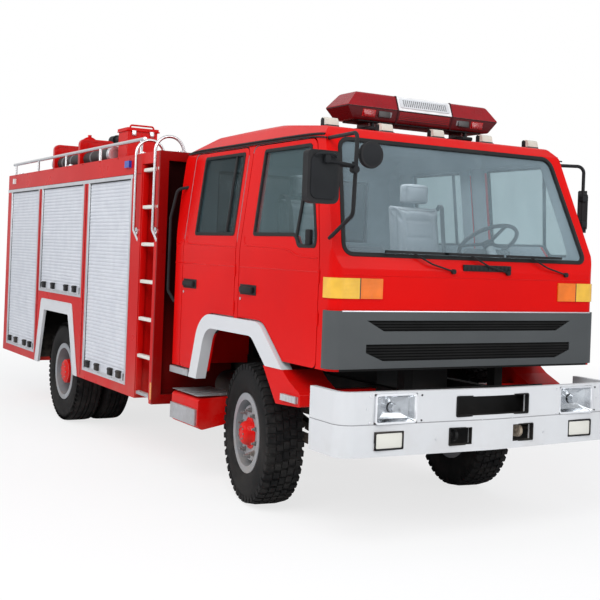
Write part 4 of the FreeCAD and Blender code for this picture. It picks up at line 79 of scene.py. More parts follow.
class Wire:
    def __init__(self, finish, socket):
        self.finish = finish
        self.socket = socket

    def __add__(self, other):
        return self.finish.maths("ADD", self, other)

    def __radd__(self, other):
        return self.finish.maths("ADD", other, self)

    def __sub__(self, other):
        return self.finish.maths("SUBTRACT", self, other)

    def __rsub__(self, other):
        return self.finish.maths("SUBTRACT", other, self)

    def __mul__(self, other):
        return self.finish.maths("MULTIPLY", self, other)

    def __rmul__(self, other):
        return self.finish.maths("MULTIPLY", other, self)

    def __truediv__(self, other):
        return self.finish.maths("DIVIDE", self, other)

    def __gt__(self, other):
        return self.finish.maths("GREATER_THAN", self, other)

    def __lt__(self, other):
        return self.finish.maths("LESS_THAN", self, other)

    def clamped(self):
        return self.finish.maths("ADD", self, 0, clamp=True)


class Finish:
    def __init__(self, tree):
        self.tree = tree

    def make(self, kind, settings=None, **inputs):
        node = self.tree.nodes.new(kind)
        for name, value in (settings or {}).items():
            if name == "stops":
                ramp = node.color_ramp
                while len(ramp.elements) < len(value):
                    ramp.elements.new(0.5)
                for element, (place, colour) in zip(ramp.elements, value):
                    element.position = place
                    element.color = (*colour, 1)
            else:
                setattr(node, name, value)
        for name, value in inputs.items():
            key = int(name[1:]) if name[0] == "n" and name[1:].isdigit() else name.replace("_", " ")
            self.plug(node.inputs[key], value)
        return node

    def plug(self, socket, value):
        if isinstance(value, Wire):
            self.tree.links.new(value.socket, socket)
        elif isinstance(value, (tuple, list)) and len(value) == 3 and socket.type == "RGBA":
            socket.default_value = (*value, 1)
        else:
            socket.default_value = value

    def out(self, node, name=0):
        return Wire(self, node.outputs[name])

    def maths(self, operation, *values, clamp=False):
        node = self.make("ShaderNodeMath", {"operation": operation, "use_clamp": clamp})
        for socket, value in zip(node.inputs, values):
            self.plug(socket, value)
        return self.out(node)

    def place(self, scale=(1, 1, 1), turn=(0, 0, 0), centre=(0, 0, 0)):
        node = self.make("ShaderNodeTexCoord")
        spot = self.out(node, "Object")
        return self.out(self.make("ShaderNodeMapping", Vector=spot, Scale=scale, Rotation=turn,
                                  Location=centre))

    def axes(self):
        node = self.make("ShaderNodeSeparateXYZ", Vector=self.place())
        return [self.out(node, axis) for axis in "XYZ"]

    def noise(self, scale, detail=2.0, roughness=0.5, stretch=(1, 1, 1)):
        node = self.make("ShaderNodeTexNoise", Vector=self.place(stretch), Scale=scale, Detail=detail,
                         Roughness=roughness)
        return self.out(node, "Fac")

    def cells(self, scale, stretch=(1, 1, 1), feature="F1"):
        node = self.make("ShaderNodeTexVoronoi", {"feature": feature}, Vector=self.place(stretch),
                         Scale=scale)
        return self.out(node, "Distance")

    def wave(self, direction, scale, spot=None, distortion=0.0, output="Fac"):
        node = self.make("ShaderNodeTexWave", {"bands_direction": direction}, Vector=spot or self.place(),
                         Scale=scale, Distortion=distortion)
        return self.out(node, output)

    def ramp(self, value, low, high):
        node = self.make("ShaderNodeMapRange", {"clamp": True}, Value=value, From_Min=low, From_Max=high)
        return self.out(node)

    def patches(self, scale, detail, low=0.3, high=0.7, roughness=0.5):
        return self.ramp(self.noise(scale, detail, roughness), low, high)

    def blend(self, share, first, second):
        node = self.make("ShaderNodeMix", {"data_type": "RGBA"}, n0=share, n6=first, n7=second)
        return self.out(node, 2)

    def bump(self, height, depth, strength=1.0, normal=None):
        node = self.make("ShaderNodeBump", Height=height, Distance=depth, Strength=strength)
        if normal is not None:
            self.plug(node.inputs["Normal"], normal)
        return self.out(node)

    def lacquer(self):
        # The fine ripple and the slow swell of a painted panel.
        ripple = self.bump(self.noise(260, 1), 0.00012)
        return self.bump(self.noise(2.2, 1), 0.0035, 1.0, ripple)

    def facing(self, axis):
        shape = self.out(self.make("ShaderNodeNewGeometry"), "Normal")
        return self.out(self.make("ShaderNodeSeparateXYZ", Vector=shape), axis)

    def mixed(self, share, first, second):
        # Sends a mix of two shaders to the output.
        mix = self.make("ShaderNodeMixShader")
        self.plug(mix.inputs[0], share)
        for node, socket in ((first, mix.inputs[1]), (second, mix.inputs[2]), (mix, self.output.inputs[0])):
            self.tree.links.new(node.outputs[0], socket)


def material(name):
    thing = bpy.data.materials.new(name)
    thing.use_nodes = True
    finish = Finish(thing.node_tree)
    finish.tree.nodes.clear()
    shader = finish.make("ShaderNodeBsdfPrincipled")
    output = finish.make("ShaderNodeOutputMaterial")
    finish.tree.links.new(shader.outputs[0], output.inputs[0])

    def apply(**values):
        for key, value in values.items():
            finish.plug(shader.inputs[key.replace("_", " ")], value)
        return thing

    finish.shader, finish.output = shader, output
    return finish, apply


def grime(finish, amount=1.0):
    # Dust that gathers low down and on ledges, as a share from 0 to 1.
    height = finish.axes()[2]
    low = finish.ramp(height, 0.95, 0.35)
    patches = finish.patches(3.5, 5, 0.42, 0.72, 0.65)
    ledge = finish.ramp(finish.facing("Z"), 0.6, 1.0) * finish.patches(9, 4, 0.4, 0.75, 0.6)
    return ((low * patches + ledge * 0.25) * amount).clamped()


# Finishes

dustColour = (0.33, 0.27, 0.21)


def paint(name, colour, shade, roughness=0.26, coat=0.05, dust=0.18, specular=0.06):
    finish, apply = material(name)
    cloud = finish.patches(1.6, 3)
    fleck = finish.patches(160, 2, 0.35, 0.65, 0.7)
    dirt = grime(finish, dust)
    body = finish.blend(cloud * 0.6 + fleck * 0.15, colour, shade)
    skinColour = finish.blend(dirt, body, dustColour)
    gloss = roughness + dirt * 0.5 + cloud * 0.05
    return apply(Base_Color=skinColour, Roughness=gloss, Normal=finish.lacquer(), Coat_Weight=coat,
                 Coat_Roughness=0.06, Specular_IOR_Level=specular)


def metal(name, colour, shade, roughness=0.3, grain=(1, 1, 40), depth=0.0001, metallic=1.0, dust=0.3):
    finish, apply = material(name)
    streak = finish.noise(60, 4, 0.6, grain)
    cloud = finish.patches(7, 3)
    dirt = grime(finish, dust)
    body = finish.blend(cloud * 0.6 + streak * 0.3, colour, shade)
    return apply(Base_Color=finish.blend(dirt, body, dustColour), Metallic=metallic,
                 Roughness=roughness + streak * 0.15 + dirt * 0.4, Normal=finish.bump(streak, depth))


def plastic(name, colour, shade, roughness=0.45, scale=420, depth=0.0002, dust=0.4):
    finish, apply = material(name)
    leather = finish.cells(scale)
    cloud = finish.patches(5, 4)
    dirt = grime(finish, dust)
    return apply(Base_Color=finish.blend(dirt, finish.blend(cloud, colour, shade), dustColour),
                 Roughness=roughness + cloud * 0.12, Normal=finish.bump(leather, depth),
                 Specular_IOR_Level=0.14)


def rubber(name):
    # Tyre rubber: dusty in the tread, with fine rings round the side walls.
    finish, apply = material(name)
    dirt = grime(finish, 0.55)
    wear = finish.patches(14, 5, 0.35, 0.7, 0.7)
    body = finish.blend(wear, (0.007, 0.007, 0.0075), (0.020, 0.0195, 0.019))
    return apply(Base_Color=finish.blend(dirt * 0.35, body, (0.10, 0.09, 0.08)),
                 Roughness=0.62 + wear * 0.2, Normal=finish.bump(finish.noise(220, 3, 0.7), 0.0006),
                 Specular_IOR_Level=0.07)


def clearGlass(name, tint, solid=0.12, gleam=0.55, paintedReflection=(0.03, 0.035, 0.035)):
    # Thin glass: see-through, with a flat painted reflection colour over it, and more of that and of the real
    # gloss at a glancing angle.
    finish, apply = material(name)
    smear = finish.noise(4, 4, 0.6, (1, 1, 0.4))
    # the flat base colour is a painted reflection of bright haze, shown in the glass's solid share
    apply(Base_Color=paintedReflection, Roughness=0.03, Specular_IOR_Level=0.5)
    through = finish.make("ShaderNodeBsdfTransparent", Color=tint)
    edge = finish.out(finish.make("ShaderNodeLayerWeight", Blend=0.35), "Facing")
    share = (solid + edge * gleam * 0.6 + finish.ramp(smear, 0.45, 0.8) * 0.08).clamped()
    finish.mixed(share, through, finish.shader)
    return apply()


def lens(name, colour, shade, pitch=220, solid=0.85, glow=0.0, axis=(1, 0, 0)):
    # A moulded lamp lens with fine ribs.
    finish, apply = material(name)
    ribHeight = finish.wave("X", pitch / 6.283, finish.place(axis))
    body = finish.blend(ribHeight * 0.5, colour, shade)
    return apply(Base_Color=body, Roughness=0.12, Normal=finish.bump(ribHeight, 0.0006), Coat_Weight=0.6,
                 Alpha=solid, Emission_Color=body, Emission_Strength=glow)


def cloth(name, colour, shade):
    finish, apply = material(name)
    warp = finish.wave("X", 160, distortion=0.4, output=0)
    weft = finish.wave("Z", 160, finish.place((1, 1, 1), (0.3, 0, 0)), 0.4, 0)
    weave = warp * weft
    fade = finish.patches(6, 4)
    return apply(Base_Color=finish.blend(fade * 0.6 + weave * 0.4, colour, shade), Roughness=0.85,
                 Normal=finish.bump(weave, 0.0006), Sheen_Weight=0.3)


red = paint("paintRed", (0.62, 0.004, 0.003), (0.52, 0.003, 0.003))
redBody = paint("paintRedBody", (0.56, 0.004, 0.003), (0.47, 0.003, 0.003))
white = paint("paintWhite", (0.60, 0.61, 0.62), (0.54, 0.55, 0.57), roughness=0.3, coat=0.1, dust=0.25)
cream = paint("paintCream", (0.68, 0.66, 0.61), (0.60, 0.57, 0.51), roughness=0.35, coat=0.1, dust=0.4)
greyPaint = paint("paintGrey", (0.080, 0.086, 0.088), (0.055, 0.060, 0.062), roughness=0.34, coat=0.08,
                  dust=0.2)
chassis = paint("chassisBlack", (0.006, 0.006, 0.006), (0.012, 0.011, 0.011), roughness=0.55, coat=0.0,
                dust=0.5, specular=0.08)
iron = paint("engineIron", (0.020, 0.021, 0.022), (0.012, 0.011, 0.010), roughness=0.6, coat=0.0, dust=0.6,
             specular=0.08)
steel = metal("darkSteel", (0.10, 0.10, 0.105), (0.06, 0.055, 0.05), 0.45, dust=0.8)
alu = metal("aluminium", (0.72, 0.73, 0.75), (0.58, 0.59, 0.62), 0.32, (1, 40, 1))
slatMetal = metal("shutterSilver", (0.70, 0.72, 0.76), (0.60, 0.62, 0.67), 0.38, (1, 1, 30), metallic=0.55,
                  dust=0.15)
stainless = metal("stainless", (0.72, 0.72, 0.73), (0.6, 0.6, 0.61), 0.16, (1, 12, 1), 0.00003)
chrome = metal("chrome", (0.85, 0.86, 0.88), (0.72, 0.73, 0.75), 0.06, (1, 1, 1), 0.00002, dust=0.1)
rimPaint = paint("rimSilver", (0.27, 0.285, 0.30), (0.17, 0.18, 0.195), roughness=0.36, coat=0.15, dust=0.5,
                 specular=0.3)
tyreRubber = rubber("tyreRubber")
sealRubber = plastic("sealRubber", (0.010, 0.010, 0.011), (0.02, 0.02, 0.02), 0.5, 300, 0.0001, 0.2)
blackPlastic = plastic("blackPlastic", (0.009, 0.009, 0.010), (0.018, 0.018, 0.019))
hoseRubber = plastic("hoseRubber", (0.016, 0.016, 0.017), (0.035, 0.034, 0.033), 0.55, 90, 0.0008)
glassSide = clearGlass("glassSide", (0.62, 0.69, 0.70), 0.14, 0.35, (0.03, 0.05, 0.053))
glassDoor = clearGlass("glassDoor", (0.72, 0.79, 0.80), 0.16, 0.35, (0.12, 0.18, 0.19))
glassFront = clearGlass("glassFront", (0.92, 0.96, 0.97), 0.12, 0.3, (0.40, 0.50, 0.55))
amber = lens("lampAmber", (0.85, 0.24, 0.01), (0.65, 0.13, 0.005), 240)
redLens = lens("lampRed", (0.38, 0.004, 0.008), (0.22, 0.002, 0.004), 150)
clearLens = lens("lampClear", (0.75, 0.77, 0.78), (0.6, 0.62, 0.63), 200, 0.45)
seatCloth = cloth("seatGrey", (0.20, 0.21, 0.23), (0.12, 0.13, 0.145))
trimGrey = plastic("trimGrey", (0.33, 0.35, 0.36), (0.27, 0.29, 0.30), 0.6, 300, 0.0003, 0.1)


def placed(name, parts, roughness=0.14, coat=0.5, ribs="Z", dust=0.2):
    # Moulded lamps whose colour changes from place to place.
    # The parts are pairs of a mask maker and a colour, the later ones on top.
    finish, apply = material(name)
    across, along, height = finish.axes()
    colour = parts[0][1]
    for maker, tint in parts[1:]:
        colour = finish.blend(maker(finish, across, along, height).clamped(), colour, tint)
    cloud = finish.patches(9, 3, 0.3, 0.75)
    dirt = grime(finish, dust)
    colour = finish.blend(cloud * 0.22, colour, (0.02, 0.005, 0.005))
    colour = finish.blend(dirt, colour, dustColour)
    normal = finish.bump(finish.wave(ribs, 38), 0.0006)
    return apply(Base_Color=colour, Roughness=roughness + cloud * 0.08, Normal=normal, Coat_Weight=coat,
                 Coat_Roughness=0.04, Specular_IOR_Level=0.18)


def within(finish, value, low, high):
    return (value > low) * (value < high)


def size(finish, value):
    return finish.maths("ABSOLUTE", value)


def cornerAmber(finish, across, along, height):
    return size(finish, across) < 0.934


def cornerGap(finish, across, along, height):
    return within(finish, size(finish, across), 0.931, 0.939)


cornerLens = placed("lampCorner", [(None, (0.80, 0.46, 0.05)), (cornerAmber, (0.78, 0.17, 0.012)),
                                   (cornerGap, (0.03, 0.02, 0.02))])
sideLens = placed("lampSides", [
    (None, (0.45, 0.006, 0.008)),
    (lambda f, x, y, z: (z > 2.5) * (y < 0.0), (0.010, 0.05, 0.36)),
    (lambda f, x, y, z: (z > 2.5) * (y > 2.0), (0.74, 0.74, 0.72)),
    (lambda f, x, y, z: (z < 0.8) * (y < 0.0), (0.80, 0.27, 0.04)),
    (lambda f, x, y, z: (y > 3.6) * within(f, z, 1.08, 1.16), (0.75, 0.20, 0.02)),
    (lambda f, x, y, z: (y > 3.6) * within(f, z, 0.96, 1.03), (0.74, 0.74, 0.72)),
])
barLens = placed("lampBar", [
    (None, (0.27, 0.004, 0.009)),
    (lambda f, x, y, z: z < 2.899, (0.085, 0.004, 0.006)),
    (lambda f, x, y, z: (z > 2.899) * (size(f, x) < 0.245), (0.80, 0.80, 0.80)),
    (lambda f, x, y, z: within(f, z, 2.896, 2.903), (0.02, 0.004, 0.004)),
    (lambda f, x, y, z: within(f, size(f, x), 0.243, 0.251), (0.10, 0.01, 0.012)),
    (lambda f, x, y, z: within(f, z, 2.835, 2.885) * within(f, size(f, x), 0.435, 0.545),
     (0.62, 0.012, 0.01)),
    (lambda f, x, y, z: within(f, z, 2.845, 2.88) * within(f, size(f, x), 0.295, 0.395), (0.25, 0.25, 0.26)),
    (lambda f, x, y, z: within(f, z, 2.835, 2.892) * (size(f, x) < 0.225), (0.26, 0.006, 0.010)),
], roughness=0.22, coat=0.08, ribs="X")
markerLens = placed("lampMarker", [(None, (0.62, 0.58, 0.50)),
                                   (lambda f, x, y, z: y > -3.128, (0.02, 0.02, 0.02)),
                                   (lambda f, x, y, z: z < 2.722, (0.03, 0.03, 0.03))], ribs="X")


def bumperPaint():
    # White enamel with a dark seam round the bumper at mid height.
    finish, apply = material("bumperWhite")
    height = finish.axes()[2]
    seam = within(finish, height, 0.7985, 0.8035)
    cloud = finish.patches(2.2, 3)
    dirt = grime(finish, 0.35)
    body = finish.blend(cloud * 0.7, (0.61, 0.62, 0.63), (0.56, 0.57, 0.58))
    body = finish.blend(dirt * 0.8, body, dustColour)
    groove = finish.ramp(size(finish, height - 0.801), 0.0, 0.006)
    normal = finish.bump(groove, 0.003, 1.0, finish.bump(finish.noise(220, 1), 0.00012))
    return apply(Base_Color=finish.blend(seam * 0.75, body, (0.16, 0.16, 0.17)),
                 Roughness=0.30 + dirt * 0.4 + cloud * 0.05, Coat_Weight=0.05, Coat_Roughness=0.06,
                 Normal=normal, Specular_IOR_Level=0.12)


def cabPaint(name, colour, shade, lining, centre):
    # Red outside and trim cloth inside: faces that look towards the cab's middle are lined.
    finish, apply = material(name)
    shape = finish.out(finish.make("ShaderNodeNewGeometry"), "Normal")
    away = finish.out(finish.make("ShaderNodeVectorMath", {"operation": "SUBTRACT"}, n0=finish.place(),
                                  n1=centre))
    turned = finish.out(finish.make("ShaderNodeVectorMath", {"operation": "DOT_PRODUCT"}, n0=shape,
                                    n1=away), "Value")
    across, along, height = finish.axes()
    room = (height > 1.30) * (size(finish, across) < 1.12) * (along < -1.13) * (along > -3.60)
    inside = (turned < -0.12) * room
    cloud = finish.patches(1.6, 3)
    fleck = finish.patches(160, 2, 0.35, 0.65, 0.7)
    dirt = grime(finish, 0.35)
    body = finish.blend(cloud * 0.6 + fleck * 0.15, colour, shade)
    body = finish.blend(dirt, body, dustColour)
    # painted shade: near black behind the bumper and on the low faces that look down, where shade falls
    shadeBehindBumper = (height < 1.1265) * (along < -3.36) * (size(finish, across) < 1.07)
    shadedUnderside = (finish.facing("Z") < -0.7) * (height < 1.35)
    paintedShade = (shadeBehindBumper + shadedUnderside).clamped()
    body = finish.blend(paintedShade, body, (0.012, 0.012, 0.012))
    trim = finish.blend(finish.patches(5, 3, 0.35, 0.7), lining, tuple(v * 0.86 for v in lining))
    return apply(Base_Color=finish.blend(inside, body, trim),
                 Roughness=0.22 + dirt * 0.5 + cloud * 0.05 + inside * 0.5, Normal=finish.lacquer(),
                 Coat_Weight=(0.05 - inside * 0.05).clamped(), Coat_Roughness=0.06, Specular_IOR_Level=0.06)


def treadPlate():
    # Crossed raised bars on worn aluminium, as bumps.
    finish, apply = material("treadPlate")
    first, second = (finish.wave("X", 22, finish.place((1, 1, 1), (0, 0, turn)), 0.0,
                                 0) for turn in (0.785, -0.785))
    bars = finish.ramp(first * second, 0.45, 0.75)
    wear = finish.patches(30, 4, 0.35, 0.7, 0.7)
    dirt = grime(finish, 0.5)
    body = finish.blend(bars * 0.6 + wear * 0.3, (0.42, 0.43, 0.44), (0.78, 0.79, 0.80))
    return apply(Base_Color=finish.blend(dirt * (1 - bars), body, (0.16, 0.14, 0.12)), Metallic=0.8,
                 Roughness=0.30 + wear * 0.2, Normal=finish.bump(bars, 0.0025))


def ringedRubber():
    # Hard suction hose: black rubber with its wire helix showing as rings.
    finish, apply = material("hoseRinged")
    wave = finish.wave("Y", 18, output=0)
    wear = finish.patches(16, 4, 0.35, 0.7, 0.6)
    dirt = grime(finish, 0.8)
    body = finish.blend(wear, (0.014, 0.014, 0.015), (0.032, 0.031, 0.030))
    return apply(Base_Color=finish.blend(dirt * 0.7, body, (0.13, 0.12, 0.10)),
                 Roughness=0.55 + wear * 0.15, Normal=finish.bump(wave, 0.004))


def shellPaint():
    # The equipment body's red, with painted shade: darker in the ladder recesses and on the faces at the
    # front frame, and nearly black in the well behind the front frame.
    finish, apply = material("bodyRed")
    across, along, height = finish.axes()
    cloud = finish.patches(1.6, 3)
    dirt = grime(finish, 0.35)
    body = finish.blend(cloud * 0.6, (0.53, 0.006, 0.005), (0.44, 0.004, 0.004))
    body = finish.blend(dirt, body, dustColour)
    # painted shade: the ladder recesses are darkened
    recessShade = (along < -0.62) * (along > -0.94) * (size(finish, across) < 1.20)
    body = finish.blend(recessShade * 0.55, body, (0.12, 0.002, 0.002))
    # painted shade: the faces at the front frame are darkened, where the cab shades them
    body = finish.blend((along < -0.99) * 0.6, body, (0.06, 0.001, 0.001))
    # painted shade: the well behind the front frame is nearly black, darkest high up
    wellShade = (along < -0.945) * (along > -0.99) * (size(finish, across) < 1.165)
    body = finish.blend(wellShade * (0.80 + finish.ramp(height, 0.9, 1.5) * 0.2), body, (0.012, 0.002, 0.002))
    return apply(Base_Color=body, Roughness=0.26 + dirt * 0.5 + cloud * 0.05, Normal=finish.lacquer(),
                 Coat_Weight=0.05, Coat_Roughness=0.06, Specular_IOR_Level=0.06)


bodyRed = shellPaint()
bumperWhite = bumperPaint()
cabRed = cabPaint("cabRed", (0.62, 0.004, 0.003), (0.52, 0.003, 0.003), (0.30, 0.35, 0.38), (0.0, -2.4, 2.0))
plateAlu = treadPlate()
hoseRinged = ringedRubber()
reflector = metal("reflector", (0.80, 0.81, 0.83), (0.45, 0.46, 0.48), 0.10, (1, 1, 1), 0.0002, dust=0.05)
fogLens = lens("lampFog", (0.72, 0.71, 0.64), (0.50, 0.49, 0.43), 260, 1.0)
darkRecess = plastic("darkRecess", (0.006, 0.006, 0.006), (0.012, 0.012, 0.012), 0.8, 200, 0.0002, 0.1)


def towPaint():
    # One eye is painted black, the other is bare metal.
    finish, apply = material("towMetal")
    across = finish.axes()[0]
    wear = finish.patches(30, 4, 0.35, 0.7, 0.6)
    bare = finish.blend(wear, (0.42, 0.35, 0.27), (0.26, 0.21, 0.16))
    body = finish.blend(across < 0.0, bare, (0.008, 0.008, 0.008))
    return apply(Base_Color=body, Roughness=0.5 + wear * 0.15, Normal=finish.bump(wear, 0.0003),
                 Specular_IOR_Level=0.2)


towMetal = towPaint()

mirrorGlass = metal("mirrorGlass", (0.86, 0.88, 0.90), (0.78, 0.80, 0.82), 0.03, (1, 1, 1), 0.00001,
                    dust=0.05)
print("finishes made")

slotFinish = {
    "paint_red": red, "paint_white": white, "paint_grey": greyPaint, "chassis_black": chassis,
    "engine_iron": iron,
    "dark_steel": steel, "aluminium": alu, "tyre": tyreRubber, "rim_silver": rimPaint, "glass": glassSide,
    "lamp_amber": amber, "lamp_clear": clearLens, "lamp_red": redLens, "black_plastic": blackPlastic,
    "seat_grey": seatCloth, "shutter_silver": slatMetal, "stainless": stainless, "hose_rubber": hoseRubber,
}
ownFinish = {
    "body_shell": bodyRed, "cab_glass": glassFront, "side_ladders": cream, "dashboard": trimGrey,
    "cab_shell": cabRed, "door_front_right": cabRed, "door_front_left": cabRed, "door_rear_right": cabRed,
    "door_rear_left": cabRed,
    "corner_lamps": cornerLens, "body_lamps": sideLens, "light_bar": barLens, "roof_marker_lamps": markerLens,
    "bumper": bumperWhite, "step_treads": plateAlu, "suction_hoses": hoseRinged, "tow_eyes": towMetal,
    "seat_frames": trimGrey, "glass_front_right": glassDoor, "glass_front_left": glassDoor,
}


def dressNodes():
    for part in frame["record"]["subparts"]:
        thing = nodes[part["node"]]
        finish = ownFinish.get(part["node"], slotFinish[part["material_slot"]])
        thing.data.materials.clear()
        thing.data.materials.append(finish)


dressNodes()
print("nodes dressed")

# Stage: a pale floor that keeps the shadow, a pale world and soft lamps


def makeStage():
    bpy.ops.mesh.primitive_plane_add(size=160, location=(0, 0, -0.002))
    floor = bpy.context.object
    floor.name = "floor"
    finish, apply = material("floorPale")
    apply(Base_Color=(0.86, 0.86, 0.86), Roughness=0.9, Specular_IOR_Level=0.1)
    seen = finish.out(finish.make("ShaderNodeLightPath"), "Is Camera Ray")
    glow = finish.make("ShaderNodeEmission", Color=(1, 1, 1), Strength=1.0)
    across, along = finish.axes()[:2]
    far = finish.maths("SQRT", across * across + along * along)
    share = 0.74 + finish.ramp(far, 5.0, 11.0) * 0.26
    finish.mixed(seen * share, finish.shader, glow)
    floor.data.materials.append(bpy.data.materials["floorPale"])
    world = bpy.data.worlds.new("world")
    bpy.context.scene.world = world
    world.use_nodes = True
    sky = Finish(world.node_tree)
    sky.tree.nodes.clear()
    path = sky.make("ShaderNodeLightPath")
    direct = sky.maths("MAXIMUM", sky.out(path, "Is Camera Ray"), sky.out(path, "Is Transmission Ray"))
    seen = sky.maths("MAXIMUM", direct, sky.out(path, "Is Glossy Ray") * 0.6)
    colour = sky.blend(seen, (0.52, 0.54, 0.58), (1.0, 1.0, 1.0))
    back = sky.make("ShaderNodeBackground", Color=colour, Strength=1.0)
    out = sky.make("ShaderNodeOutputWorld")
    sky.tree.links.new(back.outputs[0], out.inputs[0])


lamps = [
    {"name": "cab", "place": (0.0, -2.55, 2.52), "size": 1.2, "power": 16, "aim": (0.0, -2.5, 1.6)},
    {"name": "key", "place": (-7.0, -9.0, 9.5), "size": 7.0, "power": 880},
    {"name": "side", "place": (-11.0, 1.0, 6.5), "size": 7.0, "power": 430},
    {"name": "front", "place": (3.5, -12.0, 5.0), "size": 6.0, "power": 330},
]


def makeLamps():
    for lamp in lamps:
        light = bpy.data.lights.new(lamp["name"], "AREA")
        light.energy = lamp["power"]
        light.size = lamp["size"]
        thing = bpy.data.objects.new(lamp["name"], light)
        bpy.context.scene.collection.objects.link(thing)
        thing.location = lamp["place"]
        aim = Vector(lamp.get("aim", (0, -0.5, 1.2))) - thing.location
        thing.rotation_euler = aim.to_track_quat("-Z", "Y").to_euler()


makeStage()
makeLamps()
print("stage set")

# What shapes the pieces


def addRod(form, start, end, radius, sides=16, slot=0, tip=None):
    start, end = Vector(start), Vector(end)
    line = end - start
    made = bmesh.ops.create_cone(form, cap_ends=True, segments=sides, radius1=radius,
                                 radius2=radius if tip is None else tip, depth=line.length)
    turn = line.to_track_quat("Z", "Y").to_matrix().to_4x4()
    bmesh.ops.transform(form, matrix=Matrix.Translation((start + end) / 2) @ turn, verts=made["verts"])
    paintNew(made["verts"], slot)
    return made["verts"]


def addBall(form, centre, radius, squash=(1, 1, 1), slot=0, sides=16):
    made = bmesh.ops.create_uvsphere(form, u_segments=sides, v_segments=max(6, sides // 2), radius=radius)
    shape = Matrix.Translation(centre) @ Matrix.Diagonal((*squash, 1))
    bmesh.ops.transform(form, matrix=shape, verts=made["verts"])
    paintNew(made["verts"], slot)
    return made["verts"]


def vertsOf(geometry):
    return [item for item in geometry if isinstance(item, bmesh.types.BMVert)]


def paintNew(verts, slot):
    for face in {face for vert in verts for face in vert.link_faces}:
        face.material_index = slot


def addSpin(form, profile, centre, axis, steps=48, slot=0, closed=False):
    # profile: (distance along the axis, radius) pairs, turned once round the axis.
    axis = Vector(axis).normalized()
    side = axis.orthogonal().normalized()
    centre = Vector(centre)
    verts = [form.verts.new(centre + axis * away + side * radius) for away, radius in profile]
    edges = [form.edges.new(pair) for pair in zip(verts, verts[1:])]
    if closed:
        edges.append(form.edges.new((verts[-1], verts[0])))
    made = bmesh.ops.spin(form, geom=verts + edges, cent=centre, axis=axis, angle=2 * math.pi, steps=steps,
                          use_merge=True)
    seen = set(verts) | set(vertsOf(made["geom_last"]))
    front = list(seen)
    while front:
        vert = front.pop()
        for edge in vert.link_edges:
            other = edge.other_vert(vert)
            if other not in seen:
                seen.add(other)
                front.append(other)
    for vert in seen:
        for face in vert.link_faces:
            face.material_index = slot
    return list(seen)


def finishPiece(form, name, materials, body="vehicle", replaces=(), smooth=0.6, mirror=False):
    # Turns a bmesh into a piece that rides on a body. mirror adds its twin on the other side.
    if mirror:
        source = form.verts[:] + form.edges[:] + form.faces[:]
        made = bmesh.ops.duplicate(form, geom=source)
        bmesh.ops.scale(form, vec=(-1, 1, 1), verts=vertsOf(made["geom"]))
    bmesh.ops.recalc_face_normals(form, faces=form.faces[:])
    mesh = bpy.data.meshes.new(name)
    form.to_mesh(mesh)
    form.free()
    for finish in materials:
        mesh.materials.append(finish)
    thing = bpy.data.objects.new(name, mesh)
    bpy.context.scene.collection.objects.link(thing)
    if smooth:
        mesh.shade_smooth()
        mesh.set_sharp_from_angle(angle=smooth)
    if replaces:
        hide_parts(*replaces)
    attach(thing, body)
    return thing


def tubeForm(form, points, radius, sides=10, slot=0, closed=False, round=3):
    # A tube along a smooth line, made by a curve and added to the form.
    curve = bpy.data.curves.new("line", "CURVE")
    curve.dimensions = "3D"
    spline = curve.splines.new("NURBS")
    spline.points.add(len(points) - 1)
    for target, point in zip(spline.points, points):
        target.co = (*point, 1)
    spline.use_cyclic_u = closed
    spline.order_u = round
    spline.use_endpoint_u = not closed
    spline.resolution_u = 6
    curve.bevel_depth = radius
    curve.bevel_resolution = max(0, sides // 4 - 1)
    curve.use_fill_caps = True
    holder = bpy.data.objects.new("line", curve)
    mesh = bpy.data.meshes.new_from_object(holder)
    before = len(form.faces)
    form.from_mesh(mesh)
    form.faces.ensure_lookup_table()
    for face in form.faces[before:]:
        face.material_index = slot
    bpy.data.objects.remove(holder)
    bpy.data.curves.remove(curve)
    bpy.data.meshes.remove(mesh)


def pour(form, part, slot=0, recalc=True):
    # Adds one finished part to a form and gives the form's last faces a material index.
    # Slot None leaves every index as it is.
    if recalc:
        bmesh.ops.recalc_face_normals(part, faces=part.faces[:])
    mesh = bpy.data.meshes.new("part")
    part.to_mesh(mesh)
    part.free()
    before = len(form.faces)
    form.from_mesh(mesh)
    bpy.data.meshes.remove(mesh)
    if slot is None:
        return
    form.faces.ensure_lookup_table()
    for face in form.faces[before:]:
        face.material_index = slot


def drawOut(part, push, edges=None):
    # Extrudes a part's faces, or some of its edges, along push and returns the new points.
    if edges is None:
        made = bmesh.ops.extrude_face_region(part, geom=part.faces[:])
    else:
        made = bmesh.ops.extrude_edge_only(part, edges=edges)
    grown = vertsOf(made["geom"])
    bmesh.ops.translate(part, vec=Vector(push), verts=grown)
    return grown


def softenRim(part, grown, soft, least=-1.0):
    # Rounds the edges between the drawn out points where the faces meet at more than the least angle.
    top = set(grown)
    rim = [edge for edge in part.edges if edge.verts[0] in top and edge.verts[1] in top]
    rim = [edge for edge in rim if edge.calc_face_angle(0) > least]
    bmesh.ops.bevel(part, geom=rim, offset=soft, segments=2, profile=0.5, affect="EDGES", material=-1)


def flatPart(corners, radius, segments=5):
    # One flat face with rounded corners, as a bmesh of its own.
    part = bmesh.new()
    verts = [part.verts.new(corner) for corner in corners]
    part.faces.new(verts)
    if radius:
        bmesh.ops.bevel(part, geom=verts, offset=radius, segments=segments, profile=0.5, affect="VERTICES",
                        material=-1)
    return part


def addPad(form, corners, push, radius=0.01, soft=0.0, slot=0, segments=4):
    # A plate with rounded corners, drawn out along push, its far edge softened.
    part = flatPart(corners, radius, segments)
    grown = drawOut(part, push)
    if soft:
        softenRim(part, grown, soft)
    pour(form, part, slot)


